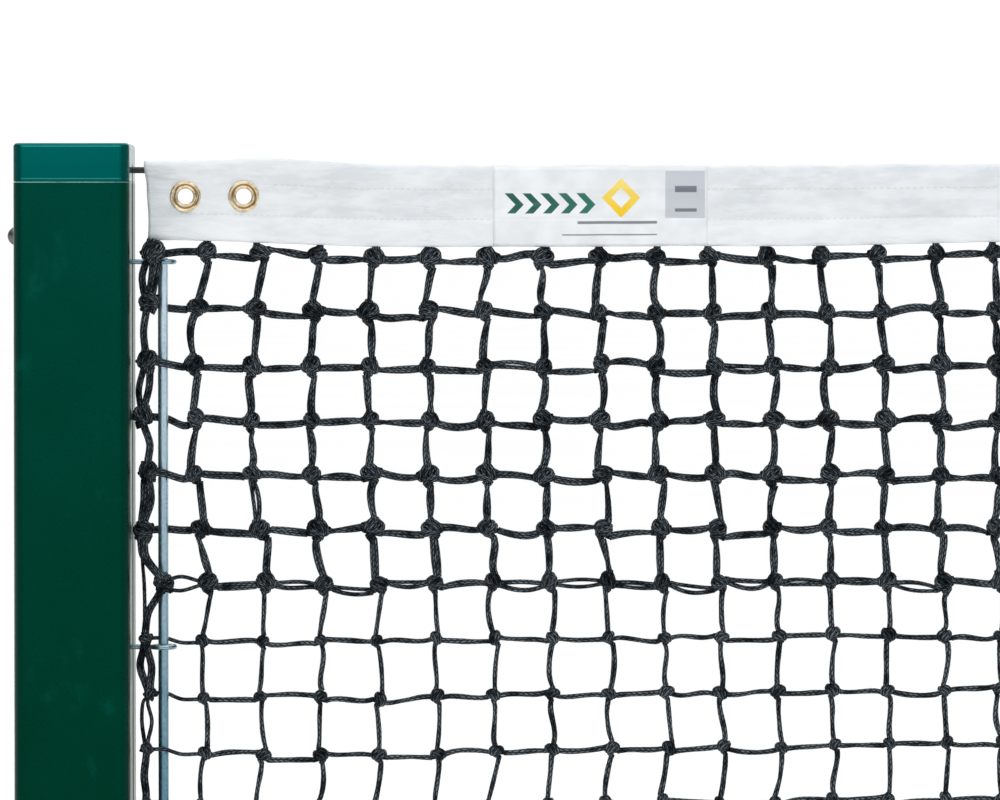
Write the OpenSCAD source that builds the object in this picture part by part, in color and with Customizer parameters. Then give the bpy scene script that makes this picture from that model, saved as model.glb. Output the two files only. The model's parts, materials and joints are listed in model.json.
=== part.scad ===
// Full-length tennis net strung between two square posts.
// Millimetres, +Z up. The origin is on the court surface midway between the posts.
// X runs along the net, -Y is the side the net's label faces.

/* [Court layout] */
// Distance between the inner faces of the two posts
clear_span = 12710; // [12000:10:13400]

/* [Posts] */
// Outside width of the square post tube
post_w = 90; // [80:1:110]
// Wall of the post tube
post_wall = 3; // [2:0.5:6]
// Outside corner radius of the post tube
post_corner = 8; // [6:0.5:14]
// Height of the top end of the post tube
tube_top = 1055; // [1020:1:1080]
// Width of the slot in each post's inner face
slot_w = 12; // [8:0.5:16]
// Width of the channel behind the slot
channel_w = 22; // [18:0.5:30]
// Depth of the channel behind the slot
channel_d = 10; // [8:0.5:16]
// Side of the square base plate
plate_w = 220; // [180:5:260]
// Thickness of the base plate
plate_t = 12; // [8:1:20]
// Spacing of the floor bolt holes
plate_pitch = 170; // [130:5:200]
// Radius of each floor bolt hole
plate_hole_r = 7; // [5:0.5:10]
// Width of the base plate's clearance notch under the net
notch_w = 44; // [30:1:70]

/* [Caps] */
// Height of the top of the cap
cap_top = 1085; // [1070:1:1100]
// Radius of the cap's top edge
cap_edge = 3; // [1:0.5:5]
// Thickness of the cap's roof
cap_roof = 4; // [3:0.5:8]
// Radius of the locating pegs inside the cap
peg_r = 4.4; // [3:0.1:4.6]
// How far the pegs reach down into the tube
peg_reach = 12; // [6:1:20]
// Gap between the cap and the tube it stands on
seat_gap = 0.3; // [0.2:0.1:1]

/* [Headband and cable] */
// Height of the top edge of the headband
band_top = 1070; // [1060:1:1080]
// Height of the bottom edge of the headband
band_bottom = 1009; // [1000:1:1020]
// Thickness of the flat part of the headband
band_t = 4.4; // [3:0.2:8]
// Radius of the rolled top of the headband
band_roll_r = 5.5; // [4:0.1:7]
// Gap between the headband's end and the post
band_gap = 8.5; // [5:0.5:20]
// Radius of the coated headband cable
cable_r = 2.5; // [2:0.1:4]
// Radial gap round the cable inside the headband
cable_fit = 0.1; // [0.05:0.05:0.3]
// Distance from the headband's end to the first eyelet
eyelet_first = 33; // [25:1:50]
// Spacing of the two eyelets
eyelet_pitch = 45.5; // [35:0.5:60]
// Depth of the eyelets below the headband's top edge
eyelet_drop = 26; // [20:1:35]
// Hole radius of an eyelet
eyelet_r = 6; // [4:0.5:8]
// Flange radius of an eyelet
eyelet_flange_r = 12; // [9:0.5:14]
// Distance from the left post to the near edge of the label patch
patch_from = 282; // [200:1:400]
// Length of the label patch
patch_l = 168; // [100:1:250]
// Height of the label patch
patch_h = 46; // [30:1:50]
// Thickness of the label patch
patch_t = 0.5; // [0.3:0.1:1]

/* [Net] */
// Height of the top row of knots
row_top = 999; // [980:1:1005]
// Height of one mesh
row_pitch = 43; // [38:0.5:50]
// Number of rows of knots
row_count = 24; // [20:1:26]
// Row where double twine ends
double_rows = 6; // [4:1:8]
// Distance from each post to the first full column of knots
net_edge = 56.3; // [45:0.1:70]
// Thickness of the double-twine part of the net
double_t = 6; // [4:0.5:8]
// Thickness of the single-twine part of the net
single_t = 4; // [2:0.5:6]
// Distance from each post to the selvedge cord
selvedge_x = 11.7; // [8:0.1:16]
// Distance of the selvedge cord in front of the net's plane
selvedge_y = 5.2; // [4:0.1:8]
// Radius of the selvedge cord
selvedge_r = 2; // [1.5:0.1:3]
// Distance of the lacing cords in front of or behind the rod's centre
lace_y = 6.5; // [6:0.1:9]
// Thickness of a lacing cord
lace_t = 4; // [2:0.5:4]

/* [Lacing rods and hooks] */
// Radius of the lacing rod
rod_r = 4; // [3:0.1:5]
// Distance from each post to the rod's centre
rod_x = 23.8; // [20:0.1:30]
// Height of the rod's top end
rod_top = 996; // [980:1:998]
// Height of the top of the rod foot's plate
rod_foot_z = 34; // [25:1:40]
// Width of the rod foot's arm
foot_arm_w = 5; // [4:0.5:6]
// Depth of the rod foot's cup
cup_h = 10; // [6:1:14]
// Height of the highest hook
hook_top = 993; // [985:1:994]
// Spacing of the hooks along the rod
hook_pitch = 301; // [258:43:344]
// Number of hooks on each post
hook_count = 4; // [3:1:5]
// Radius of the hook's wire
hook_wire_r = 2; // [1.5:0.1:2.5]
// Radius of the hook's eye to the middle of the wire
hook_eye_r = 8.7; // [7.5:0.1:9.5]
// Height of the hook's sliding block
slider_h = 24; // [16:1:30]
// Gap between the sliding block and the channel walls
slider_gap = 1; // [0.5:0.1:1.5]

/* [Sheaves] */
// Radius of the cable's path over a sheave
sheave_pitch_r = 20; // [18:0.5:24]
// Radius of a sheave's flanges
sheave_r = 23.5; // [21:0.5:27]
// Width of a sheave
sheave_w = 10; // [8:0.5:14]
// Gap between the cable and the sheave's groove
groove_gap = 0.3; // [0.2:0.1:0.6]
// Distance of a sheave's centre outside the post's inner face
sheave_x = 47; // [44:0.5:52]
// Radius of the sheave's axle
axle_r = 5; // [4:0.5:6]
// Radial running clearance of the turning parts
run_fit = 0.05; // [0.02:0.01:0.1]
// Thickness of the sheave bracket's plates
bracket_t = 3; // [2:0.5:5]
// Gap between the cheeks of the sheave bracket
bracket_in = 16; // [12:0.5:24]
// Distance of the bracket's bolt below the cap's top
bolt_drop = 72; // [60:1:90]
// Radius of the domed bolt head
bolt_head_r = 7.5; // [6:0.5:10]
// Radius of the bolt's shank
bolt_r = 4; // [3:0.5:5]
// Height of the bottom face of the left cable anchor
anchor_z = 890; // [800:5:950]
// Thickness of the left cable anchor
anchor_t = 12; // [8:1:20]
// Radius of the ferrule under the anchor
ferrule_r = 6; // [4:0.5:8]
// Length of the ferrule under the anchor
ferrule_l = 24; // [15:1:40]

/* [Winch] */
// Height of the drum's axis
drum_z = 820; // [750:5:900]
// Radius of the drum's barrel
drum_r = 11; // [9:0.5:11]
// Radius of the drum's flanges
drum_flange_r = 19; // [17:0.5:21]
// Spacing of the turns of cable on the drum
turn_pitch = 5.3; // [5.3:0.1:6]
// Tooth module of the worm drive
gear_module = 2; // [1.5:0.5:2]
// Teeth on the worm wheel
wheel_teeth = 24; // [20:1:28]
// Pitch radius of the worm
worm_pitch_r = 7; // [6:0.5:8]
// Height of a tooth above the pitch circle
tooth_tip = 1.5; // [1:0.1:1.8]
// Depth of a tooth below the pitch circle
tooth_root = 2; // [1.6:0.1:2.4]
// Width of a tooth on the pitch circle
tooth_w = 2.3; // [1.8:0.1:2.5]
// Width of the worm wheel's rim
rim_w = 6; // [4:0.5:8]
// Turns of thread on the worm
worm_turns = 4; // [3:1:5]
// Distance of the worm's axis in front of the post's centre
worm_y = 14; // [13:0.5:16]
// Radius of the worm's shaft
worm_shaft_r = 5; // [4:0.5:5]
// Side of the square on the drum's shaft
square_w = 12; // [10:0.5:14]
// Radius of the drum's journals
journal_r = 6; // [4:0.5:6]

/* [Crank] */
// Length of the crank arm between centres
crank_l = 150; // [100:5:200]
// Width of the crank arm
crank_w = 20; // [16:1:26]
// Thickness of the crank arm
crank_t = 8; // [5:0.5:12]
// Radius of the crank's grip
grip_r = 11; // [9:0.5:14]
// Length of the crank's grip
grip_l = 42; // [30:1:43]
// Radius of the grip's spindle
spindle_r = 4; // [3:0.5:6]
// Distance of the crank arm from the post's outer face
crank_gap = 9; // [8:0.5:20]

/* [Hidden] */
$fn = 96;
eps = 0.5;
face_x = clear_span / 2;
post_x = face_x + post_w / 2;
outer_x = face_x + post_w;
cable_z = tube_top + 9.5;
sheave_cx = face_x + sheave_x;
sheave_cz = cable_z - sheave_pitch_r;
drop_x = sheave_cx + sheave_pitch_r;
bolt_z = cap_top - bolt_drop;
band_l = clear_span - 2 * band_gap;
net_l = clear_span - 2 * net_edge;
row_low = row_top - (row_count - 1) * row_pitch;
row_mid = row_top - double_rows * row_pitch;
eyelet_z = band_top - eyelet_drop;
eyelet_t = 1.2;
eyelet_seat_r = eyelet_r + 1;
bolt_hole_r = bolt_r + 0.2;
nut_t = 6.5;
nut_r = 7.5;
bolt_grip = post_wall + bracket_t + nut_t;
cheek_r = 12;
cheek_rise = 8;
bracket_foot = 13;
foot_block_h = 16;
foot_arm_t = 6;
foot_cup_r = rod_r + 3.4;
foot_bore_r = rod_r + 0.9;
wheel_r = gear_module * wheel_teeth / 2;
worm_pitch = PI * gear_module;
worm_z = drum_z - wheel_r - worm_pitch_r;
drum_x = drop_x - cable_r - drum_r - 0.5;
flank = tan(20);
winch_in = face_x + 20;
winch_out = outer_x - post_wall;
cheek_front = -worm_y - 13;
cheek_back = 20;
winch_low = worm_z - 24;
winch_high = drum_z + 50;
end_block = 6;
end_block_h = 10;
bush_wall = 2;
drum_cheek_r = 16;
worm_bush_r = worm_shaft_r + 4;
worm_bush_flange_r = worm_shaft_r + 8;
worm_bush_flange_t = 4;
barrel_front = -6;
barrel_back = 2 * turn_pitch + cable_r + 1.4;
drum_flange_t = 1.5;
wheel_hub_r = 14;
thread_core_r = worm_shaft_r + 0.3;
half_tip = (tooth_w / 2 - tooth_tip * flank) / worm_pitch * 360;
half_root = (tooth_w / 2 + (worm_pitch_r - thread_core_r) * flank) / worm_pitch * 360;
crank_x = outer_x + crank_gap;
crank_hub_t = crank_gap - worm_bush_flange_t - 1;
grip_x = crank_x + crank_t + 1;
grip_stop_t = 3;
groove_r = 1.4;
groove_out = 0.4;

steel = [0.62, 0.64, 0.65];
dark_steel = [0.28, 0.29, 0.30];
post_green = [0.05, 0.22, 0.17];
cap_green = [0.02, 0.33, 0.30];
brass = [0.72, 0.58, 0.30];
bronze = [0.62, 0.45, 0.25];
white_fabric = [0.90, 0.90, 0.88];
twine_black = [0.09, 0.10, 0.12];
rubber_black = [0.06, 0.06, 0.06];

// Helpers

// Draws its children on the left, or mirrored on the right
module on_side(right) {
  if (right) mirror([1, 0, 0]) children();
  else children();
}

module on_both() {
  on_side(false) children();
  on_side(true) children();
}

module box(x, y, z) {
  translate([x[0], y[0], z[0]]) cube([x[1] - x[0], y[1] - y[0], z[1] - z[0]]);
}

module along_x(x, y, z, r) {
  translate([x[0], y, z]) rotate([0, 90, 0]) cylinder(h = x[1] - x[0], r = r);
}

module along_y(x, y, z, r) {
  translate([x, y[1], z]) rotate([90, 0, 0]) cylinder(h = y[1] - y[0], r = r);
}

module rounded_square(w, r) {
  square([w - 2 * r, w], center = true);
  square([w, w - 2 * r], center = true);
  for (x = [-1, 1], y = [-1, 1]) translate([x, y] * (w / 2 - r)) circle(r = r);
}

// Posts, drawn as the left post

module tube_section() {
  inner = post_w - 2 * post_wall;
  difference() {
    rounded_square(post_w, post_corner);
    difference() {
      rounded_square(inner, post_corner - post_wall);
      translate([post_w / 2 - 2 * post_wall - channel_d, -channel_w / 2 - post_wall])
        square([2 * post_wall + channel_d, channel_w + 2 * post_wall]);
    }
    translate([post_w / 2 - post_wall - channel_d, -channel_w / 2]) square([channel_d, channel_w]);
    translate([post_w / 2 - post_wall - eps, -slot_w / 2]) square([post_wall + 2 * eps, slot_w]);
  }
}

module post_tube() {
  difference() {
    translate([-post_x, 0, plate_t]) linear_extrude(height = tube_top - plate_t) tube_section();
    along_x([-outer_x - eps, -outer_x + post_wall + eps], 0, bolt_z, bolt_hole_r);
  }
}

module base_plate() {
  difference() {
    translate([-post_x, 0, 0]) linear_extrude(height = plate_t) rounded_square(plate_w, 10);
    for (x = [-1, 1], y = [-1, 1])
      translate([-post_x + x * plate_pitch / 2, y * plate_pitch / 2, -eps])
        cylinder(h = plate_t + 2 * eps, r = plate_hole_r);
    box([-face_x + 3, -face_x + plate_w], [-notch_w / 2, notch_w / 2], [-eps, plate_t + eps]);
  }
}

// Cap: a shell with a rolled top edge, an open cable notch and four corner pegs

module cap_body(h) {
  c = post_w / 2 - post_corner;
  lip = post_w / 2 - cap_edge;
  for (x = [-c, c], y = [-c, c]) translate([x, y, 0]) rotate_extrude() intersection() {
    square([post_corner, h]);
    union() {
      square([post_corner, h - cap_edge]);
      square([post_corner - cap_edge, h]);
      translate([post_corner - cap_edge, h - cap_edge]) circle(r = cap_edge);
    }
  }
  for (a = [0, 90]) rotate([0, 0, a]) {
    box([-c, c], [-post_w / 2, post_w / 2], [0, h - cap_edge]);
    box([-c, c], [-lip, lip], [0, h]);
    for (y = [-lip, lip]) along_x([-c, c], y, h - cap_edge, cap_edge);
  }
}

module cap() {
  h = cap_top - tube_top - seat_gap;
  inner = post_w - 2 * post_wall;
  peg_c = post_w / 2 - post_wall - peg_r - 0.8;
  notch = [post_w / 2 - post_wall - eps, post_w / 2 + eps];
  notch_r = 2 * cable_r;
  notch_z = cable_z - tube_top - seat_gap;
  translate([-post_x, 0, tube_top + seat_gap]) {
    difference() {
      cap_body(h);
      translate([0, 0, -eps]) linear_extrude(height = h - cap_roof + eps)
        rounded_square(inner, post_corner - post_wall);
      box(notch, [-notch_r, notch_r], [-eps, notch_z]);
      along_x(notch, 0, notch_z, notch_r);
    }
    for (x = [-peg_c, peg_c], y = [-peg_c, peg_c])
      translate([x, y, -peg_reach]) cylinder(h = h - cap_roof + peg_reach, r = peg_r);
  }
}

// Lacing hook number n, counted from the top: block in the channel, stem and eye

module hook(n) {
  z = hook_top - (n - 1) * hook_pitch;
  back = -face_x - post_wall - channel_d + slider_gap;
  front = -face_x - post_wall - slider_gap;
  box([back, front], [-channel_w / 2 + slider_gap, channel_w / 2 - slider_gap],
      [z - slider_h / 2, z + slider_h / 2]);
  along_x([front - eps, -face_x + rod_x - hook_eye_r], 0, z, hook_wire_r);
  translate([-face_x + rod_x, 0, z]) rotate_extrude() translate([hook_eye_r, 0]) circle(r = hook_wire_r);
}

module lacing_rod() {
  translate([-face_x + rod_x, 0, rod_foot_z + seat_gap])
    cylinder(h = rod_top - rod_foot_z - seat_gap, r = rod_r);
}

// Foot that the rod stands in, fixed in the post's channel
module rod_foot() {
  back = -face_x - post_wall - channel_d;
  box([back, -face_x - post_wall], [-channel_w / 2, channel_w / 2],
      [rod_foot_z - foot_block_h, rod_foot_z]);
  box([-face_x - post_wall - eps, -face_x + rod_x], [-foot_arm_w / 2, foot_arm_w / 2],
      [rod_foot_z - foot_arm_t, rod_foot_z]);
  translate([-face_x + rod_x, 0, rod_foot_z - foot_arm_t]) difference() {
    cylinder(h = cup_h + foot_arm_t, r = foot_cup_r);
    translate([0, 0, foot_arm_t]) cylinder(h = cup_h + eps, r = foot_bore_r);
  }
}

// Headband, cable and eyelets

module eyelet_places() {
  for (i = [0, 1])
    translate([-face_x + band_gap + eyelet_first + i * eyelet_pitch, 0, eyelet_z]) children();
}

module headband_solid() {
  difference() {
    union() {
      box([-band_l / 2, band_l / 2], [-band_t / 2, band_t / 2], [band_bottom, cable_z]);
      along_x([-band_l / 2, band_l / 2], 0, cable_z, band_roll_r);
    }
    along_x([-band_l / 2 - eps, band_l / 2 + eps], 0, cable_z, cable_r + cable_fit);
    on_both() eyelet_places() along_y(0, [-band_t, band_t], 0, eyelet_seat_r);
  }
}

module eyelet() {
  t = band_t / 2;
  difference() {
    union() {
      along_y(0, [-t, t], 0, eyelet_seat_r);
      for (s = [-1, 1]) along_y(0, [s * (t + eyelet_t / 2) - eyelet_t / 2,
                                    s * (t + eyelet_t / 2) + eyelet_t / 2], 0, eyelet_flange_r);
    }
    along_y(0, [-t - 2 * eyelet_t, t + 2 * eyelet_t], 0, eyelet_r);
  }
}

// Quarter turn of a round section over a sheave
module cable_bend() {
  translate([-sheave_cx, 0, sheave_cz]) rotate([90, 0, 0])
    rotate_extrude(angle = 90, start = 90) translate([sheave_pitch_r, 0]) circle(r = cable_r);
}

module cable_run(low) {
  cable_bend();
  translate([-drop_x, 0, low]) cylinder(h = sheave_cz - low, r = cable_r);
}

module label_plate() {
  box([-face_x + patch_from, -face_x + patch_from + patch_l], [-band_t / 2 - patch_t, -band_t / 2],
      [band_bottom + 2, band_bottom + 2 + patch_h]);
}

// Net

module net_slab(t, z) {
  box([-net_l / 2, net_l / 2], [-t / 2, t / 2], z);
}

// True for the rows whose lacing passes in front of the rod
function in_front(k) = k < 7 ? k % 2 == 0 : k > 8 && k % 2 == 1;

module edge_lacing() {
  half = lace_t / 2;
  translate([-face_x + selvedge_x, -selvedge_y, row_low - half])
    cylinder(h = band_bottom - row_low + half, r = selvedge_r);
  for (k = [0 : row_count - 1]) {
    z = [row_top - k * row_pitch - half, row_top - k * row_pitch + half];
    s = in_front(k) ? -1 : 1;
    mid = s * lace_y;
    box([-face_x + selvedge_x, -face_x + net_edge], [mid - half, mid + half], z);
    box([-face_x + net_edge - lace_t, -face_x + net_edge], [min(mid, 0), max(mid, 0)], z);
    box([-face_x + selvedge_x - half, -face_x + selvedge_x + half],
        [min(mid, -selvedge_y), max(mid, -selvedge_y)], z);
  }
}

// Sheave, its bracket and its bolt

module sheave() {
  translate([-sheave_cx, 0, sheave_cz]) rotate([90, 0, 0]) rotate_extrude() difference() {
    translate([axle_r + run_fit, -sheave_w / 2])
      square([sheave_r - axle_r - run_fit, sheave_w]);
    translate([sheave_pitch_r, 0]) circle(r = cable_r + groove_gap);
    translate([sheave_pitch_r, -cable_r - groove_gap]) square([sheave_r, 2 * (cable_r + groove_gap)]);
  }
}

module sheave_bracket() {
  back = -outer_x + post_wall;
  low = bolt_z - bracket_foot;
  out = bracket_in / 2 + bracket_t;
  difference() {
    union() {
      box([back, back + bracket_t], [-out, out], [low, sheave_cz + cheek_rise]);
      for (s = [-1, 1]) {
        mid = s * (bracket_in + bracket_t) / 2;
        cheek = [mid - bracket_t / 2, mid + bracket_t / 2];
        box([back, -sheave_cx], cheek, [sheave_cz - cheek_r, sheave_cz + cheek_rise]);
        along_y(-sheave_cx, cheek, sheave_cz, cheek_r);
      }
    }
    along_x([back - eps, back + bracket_t + eps], 0, bolt_z, bolt_hole_r);
    along_y(-sheave_cx, [-out - eps, out + eps], sheave_cz, axle_r);
  }
}

module sheave_axle() {
  out = bracket_in / 2 + bracket_t;
  along_y(-sheave_cx, [-out, out], sheave_cz, axle_r);
  for (s = [-1, 1])
    along_y(-sheave_cx, [s * (out + 1) - 1, s * (out + 1) + 1], sheave_cz, axle_r + 2);
}

// Domed head on the outside of a wall, shank and nut on the inside; m is the reach inside
module dome_bolt(m) {
  rotate([0, -90, 0]) rotate_extrude() intersection() {
    square([bolt_head_r, bolt_head_r]);
    circle(r = bolt_head_r);
  }
  along_x([-eps, m], 0, 0, bolt_r);
  translate([m - nut_t, 0, 0]) rotate([0, 90, 0]) cylinder(h = nut_t, r = nut_r, $fn = 6);
}

module sheave_bolt() {
  translate([-outer_x, 0, bolt_z]) dome_bolt(bolt_grip);
}

module left_anchor() {
  back = -outer_x + post_wall;
  difference() {
    box([back, back + 34], [-15, 15], [anchor_z, anchor_z + anchor_t]);
    translate([-drop_x, 0, anchor_z - eps]) cylinder(h = anchor_t + 2 * eps, r = cable_r + cable_fit);
  }
  translate([-drop_x, 0, anchor_z - ferrule_l]) cylinder(h = ferrule_l, r = ferrule_r);
}

// Winch, inside the right post

module bolt_places() {
  for (y = [-worm_y, 8]) translate([outer_x, y, winch_high - 12]) mirror([1, 0, 0]) children();
}

module winch_housing() {
  difference() {
    union() {
      box([winch_out - bracket_t, winch_out], [cheek_front, cheek_back], [winch_low, winch_high]);
      for (y = [cheek_front, cheek_back - bracket_t]) {
        box([drum_x, winch_out], [y, y + bracket_t], [winch_low + 10, winch_high - 20]);
        along_y(drum_x, [y, y + bracket_t], drum_z, drum_cheek_r);
      }
      box([winch_in, drum_x], [cheek_front, cheek_front + bracket_t], [worm_z - end_block_h, drum_z]);
      box([winch_in, winch_in + end_block], [cheek_front, -worm_y + 9],
          [worm_z - end_block_h, worm_z + end_block_h]);
    }
    along_y(drum_x, [cheek_front - eps, cheek_back + eps], drum_z, journal_r + bush_wall);
    along_x([winch_out - bracket_t - eps, winch_out + eps], -worm_y, worm_z, worm_bush_r);
    along_x([winch_in - eps, winch_in + end_block + eps], -worm_y, worm_z, worm_shaft_r + run_fit);
    bolt_places() along_x([0, post_wall + bracket_t + eps], 0, 0, bolt_hole_r);
  }
}

// Flanged bush of the worm's shaft and two plain bushes of the drum's journals
module bushes() {
  difference() {
    union() {
      along_x([winch_out - bracket_t, outer_x], -worm_y, worm_z, worm_bush_r);
      along_x([outer_x, outer_x + worm_bush_flange_t], -worm_y, worm_z, worm_bush_flange_r);
    }
    along_x([winch_out - bracket_t - eps, outer_x + worm_bush_flange_t + eps], -worm_y, worm_z,
            worm_shaft_r + run_fit);
  }
  for (y = [cheek_front, cheek_back - bracket_t]) difference() {
    along_y(drum_x, [y, y + bracket_t], drum_z, journal_r + bush_wall);
    along_y(drum_x, [y - eps, y + bracket_t + eps], drum_z, journal_r + run_fit);
  }
}

module drum_solid() {
  square_l = barrel_front - cheek_front - bracket_t - 4;
  along_y(drum_x, [barrel_front, barrel_back], drum_z, drum_r);
  along_y(drum_x, [barrel_front - drum_flange_t, barrel_front], drum_z, drum_flange_r);
  along_y(drum_x, [barrel_back, barrel_back + drum_flange_t], drum_z, drum_flange_r);
  along_y(drum_x, [barrel_back, cheek_back], drum_z, journal_r);
  along_y(drum_x, [cheek_front, barrel_front], drum_z, journal_r);
  translate([drum_x, (barrel_front + cheek_front + bracket_t) / 2, drum_z])
    cube([square_w, square_l, square_w], center = true);
}

module winding() {
  for (i = [1, 2]) translate([drum_x, i * turn_pitch, drum_z]) rotate([90, 0, 0])
    rotate_extrude() translate([drum_r + cable_r, 0]) circle(r = cable_r);
}

module wheel() {
  root = wheel_r - tooth_root;
  tip = wheel_r + tooth_tip;
  wide = tooth_w / 2 + tooth_root * flank;
  thin = tooth_w / 2 - tooth_tip * flank;
  translate([drum_x, -worm_y, drum_z]) rotate([90, 0, 0]) difference() {
    union() {
      cylinder(h = 2 * rim_w, r = wheel_hub_r, center = true);
      cylinder(h = rim_w, r = root, center = true);
      for (i = [0 : wheel_teeth - 1]) rotate([0, 0, (i + 0.5) * 360 / wheel_teeth])
        translate([0, 0, -rim_w / 2]) linear_extrude(height = rim_w)
          polygon([[-wide, 0], [wide, 0], [wide, root], [thin, tip], [-thin, tip], [-wide, root]]);
    }
    cube([square_w + 2 * run_fit, square_w + 2 * run_fit, 3 * rim_w], center = true);
  }
}

// Right-hand thread, as a twisted section of the worm square to its axis

// Radius of the section at angle a from the middle of the ridge
function thread_r(a) =
  let (off = min(abs(a), 360 - a) / 360 * worm_pitch)
    min(worm_pitch_r + tooth_tip, max(thread_core_r, worm_pitch_r + (tooth_w / 2 - off) / flank));

function steps(a, b, n) = [for (i = [0 : n - 1]) a + (b - a) * i / n];

module thread() {
  angles = concat(steps(-half_root, -half_tip, 4), steps(-half_tip, half_tip, 3),
                  steps(half_tip, half_root, 4), steps(half_root, 360 - half_root, 5));
  translate([-worm_turns * worm_pitch / 2, 0, 0]) rotate([0, 90, 0])
    linear_extrude(height = worm_turns * worm_pitch, twist = -360 * worm_turns,
                   slices = 20 * worm_turns, $fn = 16)
      polygon([for (a = angles) -thread_r(a) * [cos(a), sin(a)]]);
}

module worm_shaft() {
  along_x([winch_in, crank_x - crank_hub_t], -worm_y, worm_z, worm_shaft_r);
  translate([drum_x, -worm_y, worm_z]) thread();
}

module crank_arm() {
  low = worm_z - crank_l;
  along_x([crank_x - crank_hub_t, crank_x + crank_t + 2], -worm_y, worm_z, crank_w / 2 + 2);
  box([crank_x, crank_x + crank_t], [-worm_y - crank_w / 2, -worm_y + crank_w / 2], [low, worm_z]);
  along_x([crank_x, crank_x + crank_t], -worm_y, low, crank_w / 2);
  along_x([crank_x + crank_t, grip_x + grip_l + 1.5], -worm_y, low, spindle_r);
  along_x([grip_x + grip_l + 1, grip_x + grip_l + 1 + grip_stop_t], -worm_y, low, spindle_r + 2.5);
}

module grip() {
  low = worm_z - crank_l;
  difference() {
    along_x([grip_x, grip_x + grip_l], -worm_y, low, grip_r);
    along_x([grip_x - eps, grip_x + grip_l + eps], -worm_y, low, spindle_r + run_fit);
    for (i = [1 : 4]) translate([grip_x + i * grip_l / 5, -worm_y, low]) rotate([0, 90, 0])
      rotate_extrude() translate([grip_r + groove_out, 0]) circle(r = groove_r);
  }
}

// Sub-parts

module left_post() color(post_green) post_tube();

module right_post() color(post_green) difference() {
  on_side(true) post_tube();
  along_x([outer_x - post_wall - eps, outer_x + eps], -worm_y, worm_z, worm_bush_r);
  bolt_places() along_x([-eps, post_wall + eps], 0, 0, bolt_hole_r);
}

module left_base_plate() color(post_green) base_plate();
module right_base_plate() color(post_green) on_side(true) base_plate();
module left_cap() color(cap_green) cap();
module right_cap() color(cap_green) on_side(true) cap();
module left_hook(n) color(steel) hook(n);
module right_hook(n) color(steel) on_side(true) hook(n);
module left_rod() color(steel) lacing_rod();
module right_rod() color(steel) on_side(true) lacing_rod();
module rod_feet() color(steel) on_both() rod_foot();
module headband() color(white_fabric) headband_solid();

module headband_cable() color(rubber_black) {
  along_x([-sheave_cx, sheave_cx], 0, cable_z, cable_r);
  cable_run(anchor_z);
  on_side(true) cable_run(drum_z);
}

module eyelets() color(brass) on_both() eyelet_places() eyelet();
module label_patch() color(white_fabric) label_plate();
module net_double_rows() color(twine_black) net_slab(double_t, [row_mid, band_bottom]);
module net_single_rows() color(twine_black) net_slab(single_t, [row_low - lace_t / 2, row_mid]);
module left_edge_lacing() color(twine_black) edge_lacing();
module right_edge_lacing() color(twine_black) on_side(true) edge_lacing();
module left_sheave() color(steel) sheave();
module right_sheave() color(steel) on_side(true) sheave();
module sheave_brackets() color(steel) on_both() sheave_bracket();
module sheave_axles() color(steel) on_both() sheave_axle();
module dome_bolts() color(dark_steel) on_both() sheave_bolt();
module cable_anchor() color(steel) left_anchor();
module winch_frame() color(steel) winch_housing();
module winch_bushes() color(bronze) bushes();
module winch_bolts() color(dark_steel) bolt_places() dome_bolt(bolt_grip);
module cable_drum() color(steel) drum_solid();
module drum_winding() color(rubber_black) winding();
module worm_wheel() color(bronze) wheel();
module worm() color(steel) worm_shaft();
module crank() color(steel) crank_arm();
module crank_grip() color(rubber_black) grip();

left_post();
right_post();
left_base_plate();
right_base_plate();
left_cap();
right_cap();
left_hook(1);  // left_hook_1
left_hook(2);  // left_hook_2
left_hook(3);  // left_hook_3
left_hook(4);  // left_hook_4
right_hook(1);  // right_hook_1
right_hook(2);  // right_hook_2
right_hook(3);  // right_hook_3
right_hook(4);  // right_hook_4
left_rod();
right_rod();
rod_feet();
headband();
headband_cable();
eyelets();
label_patch();
net_double_rows();
net_single_rows();
left_edge_lacing();
right_edge_lacing();
left_sheave();
right_sheave();
sheave_brackets();
sheave_axles();
dome_bolts();
cable_anchor();
winch_frame();
winch_bushes();
winch_bolts();
cable_drum();
drum_winding();
worm_wheel();
worm();
crank();
crank_grip();
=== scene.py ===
"""Looks of a full-length tennis net: knotted twine, folded headband, label, eyelets, paint and metal."""
import json
import math

import bpy
import numpy as np
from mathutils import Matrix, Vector


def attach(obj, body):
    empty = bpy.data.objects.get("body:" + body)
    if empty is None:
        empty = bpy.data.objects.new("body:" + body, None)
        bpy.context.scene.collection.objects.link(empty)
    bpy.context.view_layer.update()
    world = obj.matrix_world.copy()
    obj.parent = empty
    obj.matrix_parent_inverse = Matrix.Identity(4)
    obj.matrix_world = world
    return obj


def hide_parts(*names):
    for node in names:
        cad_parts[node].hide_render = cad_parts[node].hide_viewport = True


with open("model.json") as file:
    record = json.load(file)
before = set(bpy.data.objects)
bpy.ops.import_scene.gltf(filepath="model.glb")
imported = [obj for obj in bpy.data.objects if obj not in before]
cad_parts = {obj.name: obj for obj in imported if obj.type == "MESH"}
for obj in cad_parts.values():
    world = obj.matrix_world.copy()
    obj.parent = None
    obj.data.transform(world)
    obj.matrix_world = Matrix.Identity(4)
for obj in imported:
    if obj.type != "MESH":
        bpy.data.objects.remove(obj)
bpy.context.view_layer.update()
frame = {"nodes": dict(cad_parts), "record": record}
cad = frame["nodes"]
# The body that every piece made here rides
ROOT = "net_and_posts"
MM = 0.001

# Sizes in mm, as in the CAD. X is measured from the net's middle and Z from the court.
# Inner faces of the posts, half a post's width, and the top of its tube
FACE, POST_HALF, POST_TOP = 6355.0, 45.0, 1055.0
# Rows of knots: height of the top one, spacing, number, and how many rows of meshes have two strands
ROW_TOP, ROW_PITCH, ROWS, DOUBLE = 999.0, 43.0, 24, 6
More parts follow.
